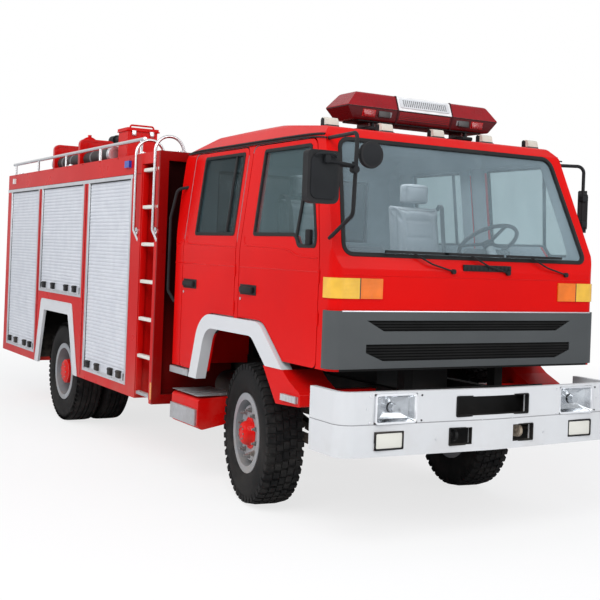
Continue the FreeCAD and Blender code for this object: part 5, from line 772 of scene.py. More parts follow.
def addRing(form, corners, radius, width, push, slot=0, soft=0.0):
    # A closed band of even width inside a rounded outline, drawn out along push.
    part = flatPart(corners, radius)
    inner = part.faces[:]
    bmesh.ops.inset_region(part, faces=inner, thickness=width, use_boundary=True, use_even_offset=True)
    bmesh.ops.delete(part, geom=inner, context="FACES_ONLY")
    grown = drawOut(part, push)
    if soft:
        softenRim(part, grown, soft, 0.5)
    pour(form, part, slot)


def addBlock(form, low, high, soft=0.0, slot=0, segments=2):
    # A box between two corners, its edges softened.
    part = bmesh.new()
    made = bmesh.ops.create_cube(part, size=1.0)
    low, high = Vector(low), Vector(high)
    reach = high - low
    shape = Matrix.Translation((low + high) / 2) @ Matrix.Diagonal((*[abs(v) for v in reach], 1))
    bmesh.ops.transform(part, matrix=shape, verts=made["verts"])
    if soft:
        bmesh.ops.bevel(part, geom=part.edges[:], offset=soft, segments=segments, profile=0.5,
                        affect="EDGES", material=-1)
    pour(form, part, slot)


def addTurned(form, profile, place, axis, steps=36, slot=0):
    # A turned part of its own, set at a place and added to the form.
    part = bmesh.new()
    addSpin(part, profile, (0, 0, 0), axis, steps)
    bmesh.ops.transform(part, matrix=Matrix.Translation(place), verts=part.verts[:])
    pour(form, part, slot)


def band(wide, inner, outer):
    # The outline of a plain ring, for addTurned.
    return [(-wide, inner), (-wide, outer), (wide, outer), (wide, inner)]


def sideBlock(form, side, x, y, z, soft=0.0, slot=0, segments=2):
    # A box on one side of the vehicle, given by its span along each axis.
    a, b = sorted((side * x[0], side * x[1]))
    addBlock(form, (a, y[0], z[0]), (b, y[1], z[1]), soft, slot, segments)


def rect(axis, place, low, high):
    # Four corners of a rectangle square to an axis: low and high are its two corners in the other two axes.
    a, b = low
    c, d = high
    flat = [(a, b), (c, b), (c, d), (a, d)]
    if axis == "x":
        return [(place, u, v) for u, v in flat]
    if axis == "y":
        return [(u, place, v) for u, v in flat]
    return [(u, v, place) for u, v in flat]


# Wheels

wheels = {"radius": 0.514, "steer": 8.6, "studs": 10, "studCircle": 0.167, "rearOffset": 1.06,
          "twin": 0.315, "frontCentre": (0.92755, -2.39571, -2.43429)}
lugRows = (46, [(0.106, 0.052, 0.66, 0.0, 0.512, 0.010), (-0.106, 0.052, 0.66, 0.5, 0.512, 0.010),
                (0.050, 0.044, 0.72, 0.25, 0.514, 0.0), (-0.050, 0.044, 0.72, 0.75, 0.514, 0.0),
                (0.0, 0.040, 0.78, 0.5, 0.514, 0.0)])
shoulderRows = (60, [(0.1225, 0.012, 0.62, 0.0, 0.5095, 0.010), (-0.1225, 0.012, 0.62, 0.5, 0.5095, 0.010)])


def tyreProfile(ribbed):
    side = [(0.112, 0.2555), (0.1145, 0.288), (0.123, 0.300), (0.1365, 0.335), (0.140, 0.385),
            (0.1375, 0.432), (0.1315, 0.462), (0.1335, 0.466), (0.129, 0.482), (0.120, 0.496)]
    if ribbed:
        crown = [(0.114, 0.509), (0.084, 0.513), (0.081, 0.500), (0.073, 0.500), (0.070, 0.5135),
                 (0.026, 0.514), (0.023, 0.500), (0.015, 0.500), (0.012, 0.514)]
    else:
        crown = [(0.112, 0.4995), (0.060, 0.501), (0.020, 0.5015)]
    half = side + crown
    return half + [(-away, radius) for away, radius in reversed(half)]


def turnTo(centre, outward):
    # Places a part made round the X axis so that +X points outward.
    turn = Vector((1, 0, 0)).rotation_difference(Vector(outward)).to_matrix().to_4x4()
    return Matrix.Translation(centre) @ turn


def addLugs(part, count, rows):
    # rows: (distance along the axis, width, reach round the wheel, phase, tip, drop of the outer edge)
    for away, width, share, phase, tip, drop in rows:
        for i in range(count):
            angle = 2 * math.pi * (i + phase) / count
            pitch = 2 * math.pi * tip / count
            made = bmesh.ops.create_cube(part, size=1.0)
            height = tip - 0.488
            bmesh.ops.transform(part, matrix=Matrix.Diagonal((width, pitch * share, height, 1)),
                                verts=made["verts"])
            for vert in made["verts"]:
                if vert.co.z > 0:
                    vert.co.y *= 0.86
                if drop and vert.co.x * away > 0:
                    vert.co.z -= drop if vert.co.z > 0 else 0.030
                    vert.co.x += 0.004 if away > 0 else -0.004
            place = Matrix.Rotation(angle, 4, "X") @ Matrix.Translation((away, 0, tip - height / 2))
            bmesh.ops.transform(part, matrix=place, verts=made["verts"])


def makeTyre(name, centre, outward, body, node, ribbed, twins=(0.0,)):
    form = bmesh.new()
    for shift in twins:
        part = bmesh.new()
        addSpin(part, [(away + shift, radius) for away, radius in tyreProfile(ribbed)], (0, 0, 0),
                (1, 0, 0), 96, closed=True)
        lugs = bmesh.new()
        addLugs(lugs, *(shoulderRows if ribbed else lugRows))
        pour(part, lugs)
        bmesh.ops.transform(part, matrix=turnTo(centre, outward), verts=part.verts[:])
        pour(form, part)
    finishPiece(form, name, [tyreRubber], body, (node,), smooth=0.5)


def makeHub(name, centre, outward, body, front):
    # A red hub, wheel studs with their nuts and a valve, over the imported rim.
    form = bmesh.new()
    part = bmesh.new()
    if front:
        profile = [(0.0925, 0.118), (0.0965, 0.116), (0.100, 0.098), (0.1105, 0.0905), (0.132, 0.086),
                   (0.150, 0.076), (0.1600, 0.062), (0.1625, 0.030), (0.1630, 0.0)]
        base, tip = 0.092, 0.148
    else:
        profile = [(-0.140, 0.1345), (-0.060, 0.1345), (0.050, 0.128), (0.110, 0.1215), (0.1285, 0.096),
                   (0.131, 0.040), (0.1315, 0.0)]
        base, tip = -0.142, -0.088
    addSpin(part, profile, (0, 0, 0), (1, 0, 0), 48)
    bmesh.ops.transform(part, matrix=turnTo(centre, outward), verts=part.verts[:])
    pour(form, part, 0)
    part = bmesh.new()
    for i in range(wheels["studs"]):
        angle = 2 * math.pi * (i + 0.5) / wheels["studs"]
        y, z = wheels["studCircle"] * math.cos(angle), wheels["studCircle"] * math.sin(angle)
        addRod(part, (base - 0.002, y, z), (base + 0.006, y, z), 0.021, 20)
        addRod(part, (base, y, z), (base + 0.026, y, z), 0.0165, 6, tip=0.0155)
        addRod(part, (base, y, z), (tip - 0.012, y, z), 0.009, 10)
    for i in range(8):
        angle = 2 * math.pi * i / 8
        radius, place = (0.048, 0.160) if front else (0.075, 0.1295)
        y, z = radius * math.cos(angle), radius * math.sin(angle)
        addRod(part, (place - 0.004, y, z), (place + 0.006, y, z), 0.0075, 6)
    addRod(part, (0.02, 0.0, 0.205), (0.10 if front else 0.06, 0.0, 0.232), 0.0055, 8)
    bmesh.ops.transform(part, matrix=turnTo(centre, outward), verts=part.verts[:])
    pour(form, part, 1)
    finishPiece(form, name, [red, steelNut], body, smooth=0.6)


steelNut = metal("steelNut", (0.36, 0.36, 0.37), (0.24, 0.235, 0.23), 0.38, (1, 1, 8), dust=0.6)
turnAway = math.radians(wheels["steer"])
for word, side in sides:
    x, yRight, yLeft = wheels["frontCentre"]
    centre = (side * x, yRight if side < 0 else yLeft, wheels["radius"])
    outward = Vector((side * math.cos(turnAway), -side * math.sin(turnAway), 0))
    makeTyre(f"tyreFront_{word}", centre, outward, f"wheel_front_{word}", f"front_tyre_{word}", False)
    makeHub(f"hubFront_{word}", centre, outward, f"wheel_front_{word}", True)
    centre = (side * wheels["rearOffset"], axleRear, wheels["radius"])
    outward = Vector((side, 0, 0))
    makeTyre(f"tyresRear_{word}", centre, outward, f"wheels_rear_{word}", f"rear_tyres_{word}", True,
             (0.0, -wheels["twin"]))
    makeHub(f"hubRear_{word}", centre, outward, f"wheels_rear_{word}", False)
print("wheels made")

# Equipment body: shutter slats, bars, guides and strips

shutters = {"face": 1.228, "skin": 1.240, "pitch": 0.034, "top": 2.455, "rear": 3.807, "inset": 0.026,
            "guide": 0.024, "lip": 0.033, "sill": 0.020, "rail": 0.064,
            "spans": [(-0.375, 0.775, 0.640), (0.935, 2.355, 1.345), (2.495, 3.645, 0.640)],
            "grips": (0.13, 0.32, 0.64, 0.87)}
gripBlocks = (((0.002, 0.034), 0.043, 0.018, 0.086, 0.008, 1), ((0.006, 0.040), 0.034, 0.062, 0.080, 0.005,
                                                                1), ((0.004, 0.026), 0.050, 0.004, 0.016,
                                                                     0.003, 0))


def slatSheet(form, low, high, bottom, top, place, push, along="y"):
    # A curtain of rounded slats. push is the direction that it faces, place its plane.
    part = bmesh.new()
    profile = []
    z = bottom
    while z < top - 0.004:
        profile += [(z, 0.0), (z + 0.0035, 0.0032), (z + shutters["pitch"] * 0.5, 0.0042),
                    (z + shutters["pitch"] - 0.0035, 0.0032)]
        z += shutters["pitch"]
    profile.append((min(z, top), 0.0))
    first = []
    for height, rise in profile:
        if along == "y":
            first.append(part.verts.new((place + push * rise, low, height)))
        else:
            first.append(part.verts.new((low, place + push * rise, height)))
    edges = [part.edges.new(pair) for pair in zip(first, first[1:])]
    drawOut(part, (0, high - low, 0) if along == "y" else (high - low, 0, 0), edges)
    bmesh.ops.reverse_faces(part, faces=part.faces[:])
    pour(form, part, None, recalc=False)


def makeShutters():
    skin, face, top, rear = (shutters[word] for word in ("skin", "face", "top", "rear"))
    inset, guide, lip, sill, rail = (shutters[word] for word in ("inset", "guide", "lip", "sill", "rail"))
    form = bmesh.new()
    for side in (-1, 1):
        for low, high, bottom in shutters["spans"]:
            slatSheet(form, low + inset, high - inset, bottom + rail, top - 0.004, side * (face + 0.0006),
                      side)
    slatSheet(form, -0.776, 0.776, 0.964, top - 0.004, rear + 0.0006, 1, along="x")
    finishPiece(form, "shutterSlats", [slatMetal], "vehicle", smooth=0.9)
    form = bmesh.new()
    for low, high, bottom in shutters["spans"]:
        for y in (low, high):
            inner, outer = (y, y + guide) if y == low else (y - guide, y)
            addBlock(form, (face - 0.004, inner, bottom), (skin + 0.003, outer, top), 0.002, 0)
            inner, outer = (y + guide, y + lip) if y == low else (y - lip, y - guide)
            addBlock(form, (face - 0.003, inner, bottom + 0.01), (face + 0.0065, outer, top), 0, 1)
        addBlock(form, (face - 0.002, low, top - 0.012), (skin + 0.002, high, top), 0.001, 1)
        low, high, wide = low + inset, high - inset, high - low
        addBlock(form, (face - 0.002, low, bottom), (face + 0.012, high, bottom + sill), 0.002, 0)
        addBlock(form, (face - 0.002, low, bottom + sill), (face + 0.006, high, bottom + rail), 0.002, 2)
        for share in shutters["grips"]:
            y = low - inset + wide * share
            for away, half, foot, head, soft, slot in gripBlocks:
                addBlock(form, (face + away[0], y - half, bottom + foot),
                         (face + away[1], y + half, bottom + head), soft, slot)
        for y in (low + 0.004, high - 0.026):
            addBlock(form, (face, y, bottom + 0.006), (face + 0.014, y + 0.022, bottom + 0.070), 0.003, 1)
    finishPiece(form, "shutterFittings", [alu, blackPlastic, slatMetal], "vehicle", mirror=True)
    form = bmesh.new()
    for x in (-0.800, 0.776):
        addBlock(form, (x, rear - 0.003, 0.900), (x + guide, 3.822, top), 0.002, 0)
    addBlock(form, (-0.776, rear - 0.003, 0.900), (0.776, rear + 0.009, 0.964), 0.003, 0)
    for x in (-0.5, -0.17, 0.17, 0.5):
        addBlock(form, (x - 0.043, rear + 0.002, 0.918), (x + 0.043, rear + 0.034, 0.986), 0.008, 1)
    finishPiece(form, "rearShutterFittings", [alu, blackPlastic], "vehicle")


makeShutters()
print("shutters made")


# Cab: window seals, gutter, pressed lines, handles

cab = {"half": 1.130, "belt": 1.86, "lean": 0.1218, "nose": -3.635, "seal": 0.030, "crease": 1.732,
       "screenFoot": (-3.615, 1.840), "screenTop": (-3.315, 2.635), "screenHalf": (1.065, 0.945)}


def sideX(z):
    return cab["half"] - max(0.0, z - cab["belt"]) * cab["lean"]


def onSide(side, y, z, proud=0.0):
    return (side * (sideX(z) + proud), y, z)


frontWindow = [(-2.497, 1.957), (-2.497, 2.588), (-3.160, 2.588), (-3.395, 1.953), (-3.395, 1.882),
               (-3.161, 1.882), (-3.101, 1.957)]
rearWindow = [(-2.198, 1.957), (-1.494, 1.957), (-1.494, 2.588), (-2.198, 2.588)]
windowBars = {"front": ((-3.118, 1.965), (-3.160, 2.575)), "rear": ((-2.052, 1.965), (-2.052, 2.580))}


def makeSideWindows():
    for word, side in sides:
        for place, outline in (("front", frontWindow), ("rear", rearWindow)):
            form = bmesh.new()
            corners = [onSide(side, y, z, -0.010) for y, z in outline]
            addRing(form, corners, 0.028, 0.026, (side * 0.0145, 0, 0.0018), 0, 0.003)
            low, high = (Vector(onSide(side, y, z, -0.012)) for y, z in windowBars[place])
            wide = Vector((0, 0.013, 0))
            addPad(form, [low - wide, low + wide, high + wide, high - wide], (side * 0.014, 0, 0.0017), 0.0,
                   0.003, 0)
            finishPiece(form, f"windowSeal_{place}_{word}", [sealRubber], f"door_{place}_{word}",
                        smooth=0.6)


def makeScreenSeal():
    form = bmesh.new()
    (y1, z1), (y2, z2) = cab["screenFoot"], cab["screenTop"]
    foot, top = cab["screenHalf"]
    out = Vector((0, -(z2 - z1), y2 - y1)).normalized()
    away = out * -0.015
    corners = [Vector((x, y, z)) + away for x, y, z in ((-foot, y1, z1), (foot, y1, z1), (top, y2, z2),
                                                        (-top, y2, z2))]
    addRing(form, corners, 0.085, cab["seal"], out * 0.022, 0, 0.006)
    finishPiece(form, "windscreenSeal", [sealRubber], "vehicle", smooth=0.6)
    form = bmesh.new()
    corners = rect("y", -1.138, (-0.772, 1.961), (0.772, 2.524))
    addRing(form, corners, 0.03, 0.026, (0, 0.034, 0), 0, 0.003)
    finishPiece(form, "rearPaneSeal", [sealRubber], "vehicle", smooth=0.6)


gutterTop = [(-3.300, 2.640), (-3.22, 2.652), (-2.6, 2.655), (-1.6, 2.655), (-1.20, 2.652), (-1.135, 2.635)]
gutterEdge = [(-3.34, 2.612), (-3.22, 2.634), (-2.6, 2.636), (-1.6, 2.636), (-1.16, 2.634)]
cabCurl = [(-1.285, 1.93), (-1.255, 1.90), (-1.20, 1.885), (-1.16, 1.885)]
doorLines = (
    ("front", (-3.43, -3.0, -2.6, -2.335), [
        (-2.372, 1.955), (-2.366, 1.925), (-2.39, 1.895), (-2.45, 1.888), (-2.8, 1.880), (-3.05, 1.872),
        (-3.13, 1.838), (-3.25, 1.822), (-3.42, 1.820)]),
    ("rear", (-2.258, -2.0, -1.6, -1.320), [
        (-1.352, 1.955), (-1.350, 1.925), (-1.375, 1.895), (-1.43, 1.888), (-1.8, 1.882), (-2.1, 1.878),
        (-2.255, 1.876)]),
)


def pressed(form, side, run, curl, radius):
    # The crease along a side and the line under its windows.
    tubeForm(form, [onSide(side, y, cab["crease"], -0.002) for y in run], 0.005, 8)
    tubeForm(form, [onSide(side, y, z, -0.002) for y, z in curl], radius, 8)


def makeCabLines():
    # Rain gutters, the crease along the doors and the line under the windows, with its curled rear end.
    form = bmesh.new()
    for side in (-1, 1):
        tubeForm(form, [(side * 1.031, y, z) for y, z in gutterTop], 0.009, 8)
        tubeForm(form, [(side * 1.043, y, z) for y, z in gutterEdge], 0.006, 8)
    finishPiece(form, "rainGutters", [sealRubber], "vehicle")
    form = bmesh.new()
    for side in (-1, 1):
        pressed(form, side, (-1.290, -1.2, -1.155), cabCurl, 0.006)
    tubeForm(form, [(x, cab["nose"] + 0.0015, 1.722) for x in (-1.06, -0.5, 0.0, 0.5, 1.06)], 0.005, 8)
    finishPiece(form, "cabPressings", [red], "vehicle")
    for word, side in sides:
        for place, run, curl in doorLines:
            form = bmesh.new()
            pressed(form, side, run, curl, 0.0065)
            finishPiece(form, f"doorPressing_{place}_{word}", [red], f"door_{place}_{word}")


def makeDoorHandles():
    for word, side in sides:
        for place, y in (("front", -2.385), ("rear", -1.370)):
            form = bmesh.new()
            sideBlock(form, side, (1.129, 1.158), (y - 0.186, y + 0.008), (1.546, 1.592), 0.010, 0, 3)
            sideBlock(form, side, (1.126, 1.1335), (y - 0.215, y + 0.034), (1.532, 1.606), 0.003)
            addRod(form, (side * 1.130, y + 0.020, 1.500), (side * 1.136, y + 0.020, 1.500), 0.011, 16, 1)
            finishPiece(form, f"doorHandle_{place}_{word}", [blackPlastic, chrome], f"door_{place}_{word}")


makeSideWindows()
makeScreenSeal()
makeCabLines()
makeDoorHandles()
print("cab seals and lines made")

# Front: louvres, vent, bumper lamps, tow slots

front = {"upper": (1.364, 1.434, 3), "lower": (1.172, 1.281, 5), "bumper": -3.885, "slope": 0.0515,
         "head": (0.768, 0.897, 0.320, 0.190), "fog": (0.812, 0.698, 0.220, 0.116)}


def bumperY(x):
    return front["bumper"] + front["slope"] * max(abs(x), 0.08)


def makeGrille():
    form = bmesh.new()
    for bottom, top, count in (front["upper"], front["lower"]):
        # the flat plate behind the fins is a dark sheet of painted shade for the grille's openings
        addBlock(form, (-0.885, -3.6368, bottom - 0.004), (0.885, -3.6345, top + 0.004), 0, 0)
        pitch = (top - bottom) / (count + 1)
        for i in range(count):
            z = bottom + pitch * (i + 1)
            addBlock(form, (-0.884, -3.6500, z - 0.0045), (0.884, -3.6350, z + 0.0045), 0, 0)
    finishPiece(form, "louvreFins", [darkRecess], "vehicle")
    form = bmesh.new()
    addBlock(form, (-1.070, -3.6545, 1.4885), (1.070, -3.640, 1.4965), 0.002, 0)
    finishPiece(form, "grilleTopTrim", [alu], "vehicle")
    form = bmesh.new()
    addBlock(form, (-0.105, -3.645, 1.768), (0.315, -3.630, 1.812), 0.005, 0)
    for i in range(11):
        x = -0.080 + i * 0.037
        addBlock(form, (x, -3.649, 1.775), (x + 0.020, -3.643, 1.805), 0.002, 0)
    finishPiece(form, "freshAirVent", [blackPlastic], "vehicle")


def around(y, x, z, wide, tall, grow=0.0):
    # The corners of a rectangle that faces the front, from its middle and its size.
    return rect("y", y, (x - wide / 2 - grow, z - tall / 2 - grow),
                (x + wide / 2 + grow, z + tall / 2 + grow))


def lampShell(form, x, z, wide, tall, y, deep, rim, slots):
    # A housing whose front sinks in steps: rim, inner edge, bowl.
    part = flatPart(around(y, x, z, wide, tall), 0.024, 4)
    face = part.faces[:]
    made = bmesh.ops.inset_region(part, faces=face, thickness=rim, use_boundary=True, use_even_offset=True)
    for item in made["faces"]:
        item.material_index = slots[0]
    for push, shrink, slot in ((0.010, 0.96, slots[0]), (deep * 0.55, 0.86, slots[1]),
                               (deep * 0.30, 0.62, slots[1])):
        made = bmesh.ops.inset_region(part, faces=face, thickness=0.0004, use_boundary=True,
                                      use_even_offset=True)
        for item in made["faces"]:
            item.material_index = slot
        rims = list({v for f in face for v in f.verts})
        bmesh.ops.scale(part, vec=(shrink, 1, shrink), space=Matrix.Translation((-x, 0, -z)), verts=rims)
        bmesh.ops.translate(part, vec=(0, push, 0), verts=rims)
    for item in face:
        item.material_index = slots[1]
    drawOut(part, (0, deep + 0.012, 0), [edge for edge in part.edges if edge.is_boundary])
    pour(form, part, None, recalc=False)


def makeFrontLamps():
    form = bmesh.new()
    glass = bmesh.new()
    for side in (-1, 1):
        x, z, wide, tall = front["head"]
        y = -3.8535
        lampShell(form, side * x, z, wide, tall, y, 0.060, 0.013, (0, 1))
        pour(glass, flatPart(around(y + 0.006, side * x, z, wide, tall, -0.014), 0.020, 4))
        addRod(form, (side * x, y + 0.020, z), (side * x, y + 0.054, z), 0.024, 24, 1, tip=0.032)
        for dx in (-0.192, 0.192):
            for dz in (-0.080, 0.080):
                spot = side * x + dx
                addRod(form, (spot, bumperY(spot) + 0.002, z + dz), (spot, bumperY(spot) - 0.003, z + dz),
                       0.0065, 12, 0)
        x, z, wide, tall = front["fog"]
        y = -3.846
        addRing(form, around(y + 0.004, side * x, z, wide, tall, 0.001), 0.012, 0.012, (0, -0.007, 0), 2,
                0.002)
        addPad(form, around(y + 0.010, side * x, z, wide, tall, -0.010), (0, -0.010, 0), 0.010, 0.004, 3)
    finishPiece(form, "bumperLamps", [chrome, reflector, blackPlastic, fogLens], "vehicle",
                ("front_lamps",))
    finishPiece(glass, "headLampGlass", [lampGlass], "vehicle")


def makeSlots():
    # Painted shade in the bumper's slots: dark edges round them and dark sheets behind them, and the small
    # screws.
    form = bmesh.new()
    addRing(form, rect("y", -3.876, (-0.308, 0.826), (0.308, 0.963)), 0.012, 0.010, (0, 0.030, 0), 0)
    for side in (-1, 1):
        a, b = sorted((side * 0.172, side * 0.356))
        addRing(form, rect("y", -3.8735, (a - 0.003, 0.643), (b + 0.003, 0.760)), 0.008, 0.008,
                (0, 0.030, 0), 0)
    # dark sheets behind the slots, painted shade
    addBlock(form, (-0.36, -3.690, 0.62), (-0.30, -3.676, 0.985), 0, 0)
    addBlock(form, (-0.62, -3.668, 0.610), (0.62, -3.660, 0.990), 0, 0)
    finishPiece(form, "slotShades", [darkRecess], "vehicle")
    form = bmesh.new()
    for x, z in ((-0.98, 0.90), (-0.10, 0.806), (0.16, 0.806), (0.98, 0.90), (-0.46, 0.69), (0.46, 0.69)):
        addRod(form, (x, bumperY(x) + 0.002, z), (x, bumperY(x) - 0.003, z), 0.006, 12, 0)
    finishPiece(form, "bumperScrews", [alu], "vehicle")


lampGlass = clearGlass("lampGlass", (0.93, 0.95, 0.96), 0.05, 0.3)
makeGrille()
makeFrontLamps()
makeSlots()
print("front made")


# Roof lamps and mirrors

lightBar = {"half": 0.680, "front": -3.014, "back": -2.716, "foot": 2.812, "waist": 2.903, "top": 3.010,
            "ribAt": 0.247, "rib": 0.012, "standAt": 0.4216, "standFoot": 2.744, "plateHalf": 0.222}
speaker = {"rows": 5, "columns": 22, "pitch": 0.0181, "first": -0.19, "hole": 0.0042}
markers = {"count": 5, "y": -3.1755, "reach": 0.900, "z": 2.703, "half": 0.054}


def makeLightBar():
    half, foot, waist, top = (lightBar[word] for word in ("half", "foot", "waist", "top"))
    front, back = lightBar["front"], lightBar["back"]
    middle, deep = (front + back) / 2, (back - front) / 2
    form = bmesh.new()
    section = [(deep * 0.8, foot), (deep * 1.0, waist), (deep * 0.72, top - 0.004)]
    for x in (-lightBar["ribAt"], lightBar["ribAt"]):
        # A rib round the bar's section between the middle and each end.
        part = bmesh.new()
        loop = [(x - 0.006, middle - y, z) for y, z in section]
        loop += [(x - 0.006, middle + y, z) for y, z in reversed(section)]
        verts = [part.verts.new(corner) for corner in loop]
        part.faces.new(verts)
        bmesh.ops.scale(part, vec=(1, 1.022, 1.035), space=Matrix.Translation((0, -middle, -waist)),
                        verts=part.verts)
        drawOut(part, (lightBar["rib"], 0, 0))
        pour(form, part, 0)
    addRing(form, rect("z", waist - 0.004, (-half * 0.985, front + 0.001), (half * 0.985, back - 0.001)),
            0.012, 0.010, (0, 0, 0.007), 0, 0.001)
    addBlock(form, (-0.56, middle - 0.105, foot - 0.010), (0.56, middle + 0.105, foot + 0.004), 0.004, 1)
    for x in (-lightBar["standAt"], lightBar["standAt"]):
        addBlock(form, (x - 0.05, middle - 0.12, lightBar["standFoot"]), (x + 0.05, middle + 0.12, 2.772),
                 0.008, 1)
        addRod(form, (x, middle - 0.085, 2.77), (x, middle - 0.085, 2.812), 0.010, 12, 1)
    for x in (-0.36, -0.49, 0.36, 0.49):
        addBlock(form, (x - 0.05, front + 0.004, 2.838), (x + 0.05, front + 0.030, 2.884), 0.005,
                 2 if abs(x) > 0.4 else 3)
    for i in range(5):
        z = 2.835 + i * 0.0115
        addBlock(form, (-0.22, front - 0.001 + (waist - z) * 0.30, z),
                 (0.22, front + 0.012 + (waist - z) * 0.30, z + 0.005), 0.001, 0)
    finishPiece(form, "lightBarFittings", [barTrim, blackPlastic, redLens, steel], "vehicle",
                smooth=0.5)
    # the speaker grille: a white plate with rows of dark dots on the front slope of the middle section
    form = bmesh.new()
    low, high = Vector((0, front + 0.004, waist + 0.014)), Vector((0, middle - deep * 0.72, top - 0.006))
    lean = (high - low).normalized()
    out = Vector((1, 0, 0)).cross(lean) * -1
    if out.y > 0:
        out = out * -1
    wide = Vector((lightBar["plateHalf"], 0, 0))
    a, b = low + lean * 0.006 + out * 0.002, high - lean * 0.012 + out * 0.002
    addPad(form, [a - wide, a + wide, b + wide, b - wide], out * 0.004, 0.010, 0.0015, 0)
    for r in range(speaker["rows"]):
        for c in range(speaker["columns"]):
            away = Vector((speaker["first"] + speaker["pitch"] * c, 0, 0))
            spot = a + lean * ((b - a).length * (0.22 + 0.14 * r)) + away + out * 0.004
            addRod(form, spot - out * 0.001, spot + out * 0.0012, speaker["hole"], 8, 1)
    finishPiece(form, "speakerPlate", [white, blackPlastic], "vehicle", smooth=0.5)


def makeMarkers():
    y, reach, z, half = (markers[word] for word in ("y", "reach", "z", "half"))
    form = bmesh.new()
    for i in range(markers["count"]):
        x = reach * (i - 2) / 2
        drop = 0.0 if abs(x) < 0.5 else 0.006
        addBlock(form, (x - half, y + 0.028, z - drop), (x + half, y + 0.074, z + 0.066), 0.012, 0, 3)
        addBlock(form, (x - 0.056, y - 0.016, z - 0.004 - drop), (x + 0.056, y + 0.072, z + 0.012 - drop),
                 0.004, 0)
    finishPiece(form, "markerBacks", [blackPlastic], "vehicle", smooth=0.5)


mirrors = {
    "right": {"rim": (-3.787, (-1.472, 2.153), (-1.253, 2.467)),
              "glass": (-3.786, (-1.460, 2.165), (-1.265, 2.455)),
              "back": (-3.842, (-1.455, 2.175), (-1.270, 2.440)), "bulge": -0.012},
    "left": {"rim": (0.027, (-0.006, 2.093), (0.210, 2.407)),
             "glass": (0.028, (0.004, 2.105), (0.200, 2.395)),
             "back": (-0.028, (0.010, 2.115), (0.195, 2.385)), "bulge": -0.010},
}


def mirrorHead(form, shape):
    # The rim, the glass and the rounded back of a mirror.
    addRing(form, rect("y", *shape["rim"]), 0.040, 0.014, (0, 0.010, 0), 0, 0.003)
    addPad(form, rect("y", *shape["glass"]), (0, 0.003, 0), 0.034, 0.001, 1)
    addPad(form, rect("y", *shape["back"]), (0, shape["bulge"], 0), 0.045, 0.008, 0)


def makeMirrors():
    form = bmesh.new()
    # the right one: its head, cap and arm, the round mirror beside it and the foot on the pillar
    mirrorHead(form, mirrors["right"])
    tubeForm(form, [(-1.43, -3.862, 2.432), (-1.42, -3.876, 2.446), (-1.36, -3.878, 2.449),
                    (-1.30, -3.876, 2.446), (-1.29, -3.862, 2.432)], 0.008, 8)
    addBlock(form, (-1.375, -3.880, 2.392), (-1.335, -3.840, 2.452), 0.006, 0)
    addRod(form, (-1.365, -3.872, 2.405), (-1.125, -3.822, 2.395), 0.0095, 12)
    addRod(form, (-1.125, -3.840, 2.372), (-1.125, -3.790, 2.372), 0.022, 16)
    addRod(form, (-1.125, -3.815, 2.350), (-1.125, -3.815, 2.418), 0.019, 16)
    dish = [(0.000, 0.0), (0.002, 0.055), (0.010, 0.078), (0.022, 0.086), (0.030, 0.084), (0.032, 0.078),
            (0.033, 0.0)]
    addTurned(form, dish, (-1.0102, -3.840, 2.470), (0, 1, 0), 32)
    for x, y, z in ((-1.128, -3.300, 1.985), (-1.128, -3.300, 1.925)):
        addRod(form, (x - 0.012, y, z), (x + 0.004, y, z), 0.010, 6, 2)
    addBlock(form, (-1.142, -3.335, 1.905), (-1.116, -3.275, 2.005), 0.006, 0)
    finishPiece(form, "mirrorRightFittings", [mirrorBlack, mirrorGlass, steel], "vehicle",
                smooth=0.6)
    form = bmesh.new()
    turn = Matrix.Translation((1.300, -3.315, 0)) @ Matrix.Rotation(math.radians(44), 4, "Z")
    part = bmesh.new()
    mirrorHead(part, mirrors["left"])
    bmesh.ops.transform(part, matrix=turn, verts=part.verts[:])
    pour(form, part, None)
    for z in (2.345, 2.150):
        addBlock(form, (1.272, -3.345, z - 0.022), (1.330, -3.288, z + 0.022), 0.006, 0)
    finishPiece(form, "mirrorLeftFittings", [mirrorBlack, mirrorGlass], "door_front_left",
                smooth=0.6)


barTrim = plastic("barTrim", (0.030, 0.004, 0.005), (0.05, 0.006, 0.008), 0.35, 300, 0.0001, 0.1)
mirrorBlack = plastic("mirrorBlack", (0.009, 0.010, 0.011), (0.015, 0.016, 0.018), 0.55, 260, 0.0004, 0.1)
makeLightBar()
makeMarkers()
makeMirrors()
print("roof lamps and mirrors made")

# Body details: ladder, rails, hoses, roof box, monitor, strips


ladder = {"rungs": 7, "first": 0.585, "pitch": 0.322, "wide": (1.190, 1.236), "middle": 1.214,
          "front": -0.940, "back": -0.620, "openRungs": 4}
archOuter = [(-0.590, 0.535), (-0.350, 1.240), (0.705, 1.240), (0.885, 0.535)]
archInner = [(-0.470, 0.535), (-0.268, 1.128), (0.612, 1.128), (0.765, 0.535)]
hoses = {"x": (-0.900, -0.735), "z": 2.78225, "ends": (1.005, 2.905),
         "bands": (1.025, 1.30, 1.58, 1.93, 2.25, 2.55, 2.88)}


def makeLadder():
    form = bmesh.new()
    front, back, middle = ladder["front"], ladder["back"], ladder["middle"]
    for side in (-1, 1):
        for i in range(ladder["rungs"]):
            z = ladder["first"] + ladder["pitch"] * i
            drop, rise, soft, slot = (0.012, 0.016, 0.004, 1) if i == 0 else (0.015, 0.015, 0.006, 0)
            sideBlock(form, side, ladder["wide"], (front, back), (z - drop, z + rise), soft, slot)
            addRod(form, (side * middle, front - 0.025, z), (side * middle, front, z), 0.020, 16, 0)
            if i > ladder["openRungs"]:
                addBall(form, (side * 1.228, -0.978, z), 0.021, (0.9, 0.8, 0.9), 0, 14)
        for y in (-0.636, -0.938):
            sideBlock(form, side, (1.186, 1.2385), (y - 0.006, y + 0.006), (0.56, 2.565), 0.002, 2)
    finishPiece(form, "ladderTreads", [cream, plateAlu, redBody], "vehicle", smooth=0.5)


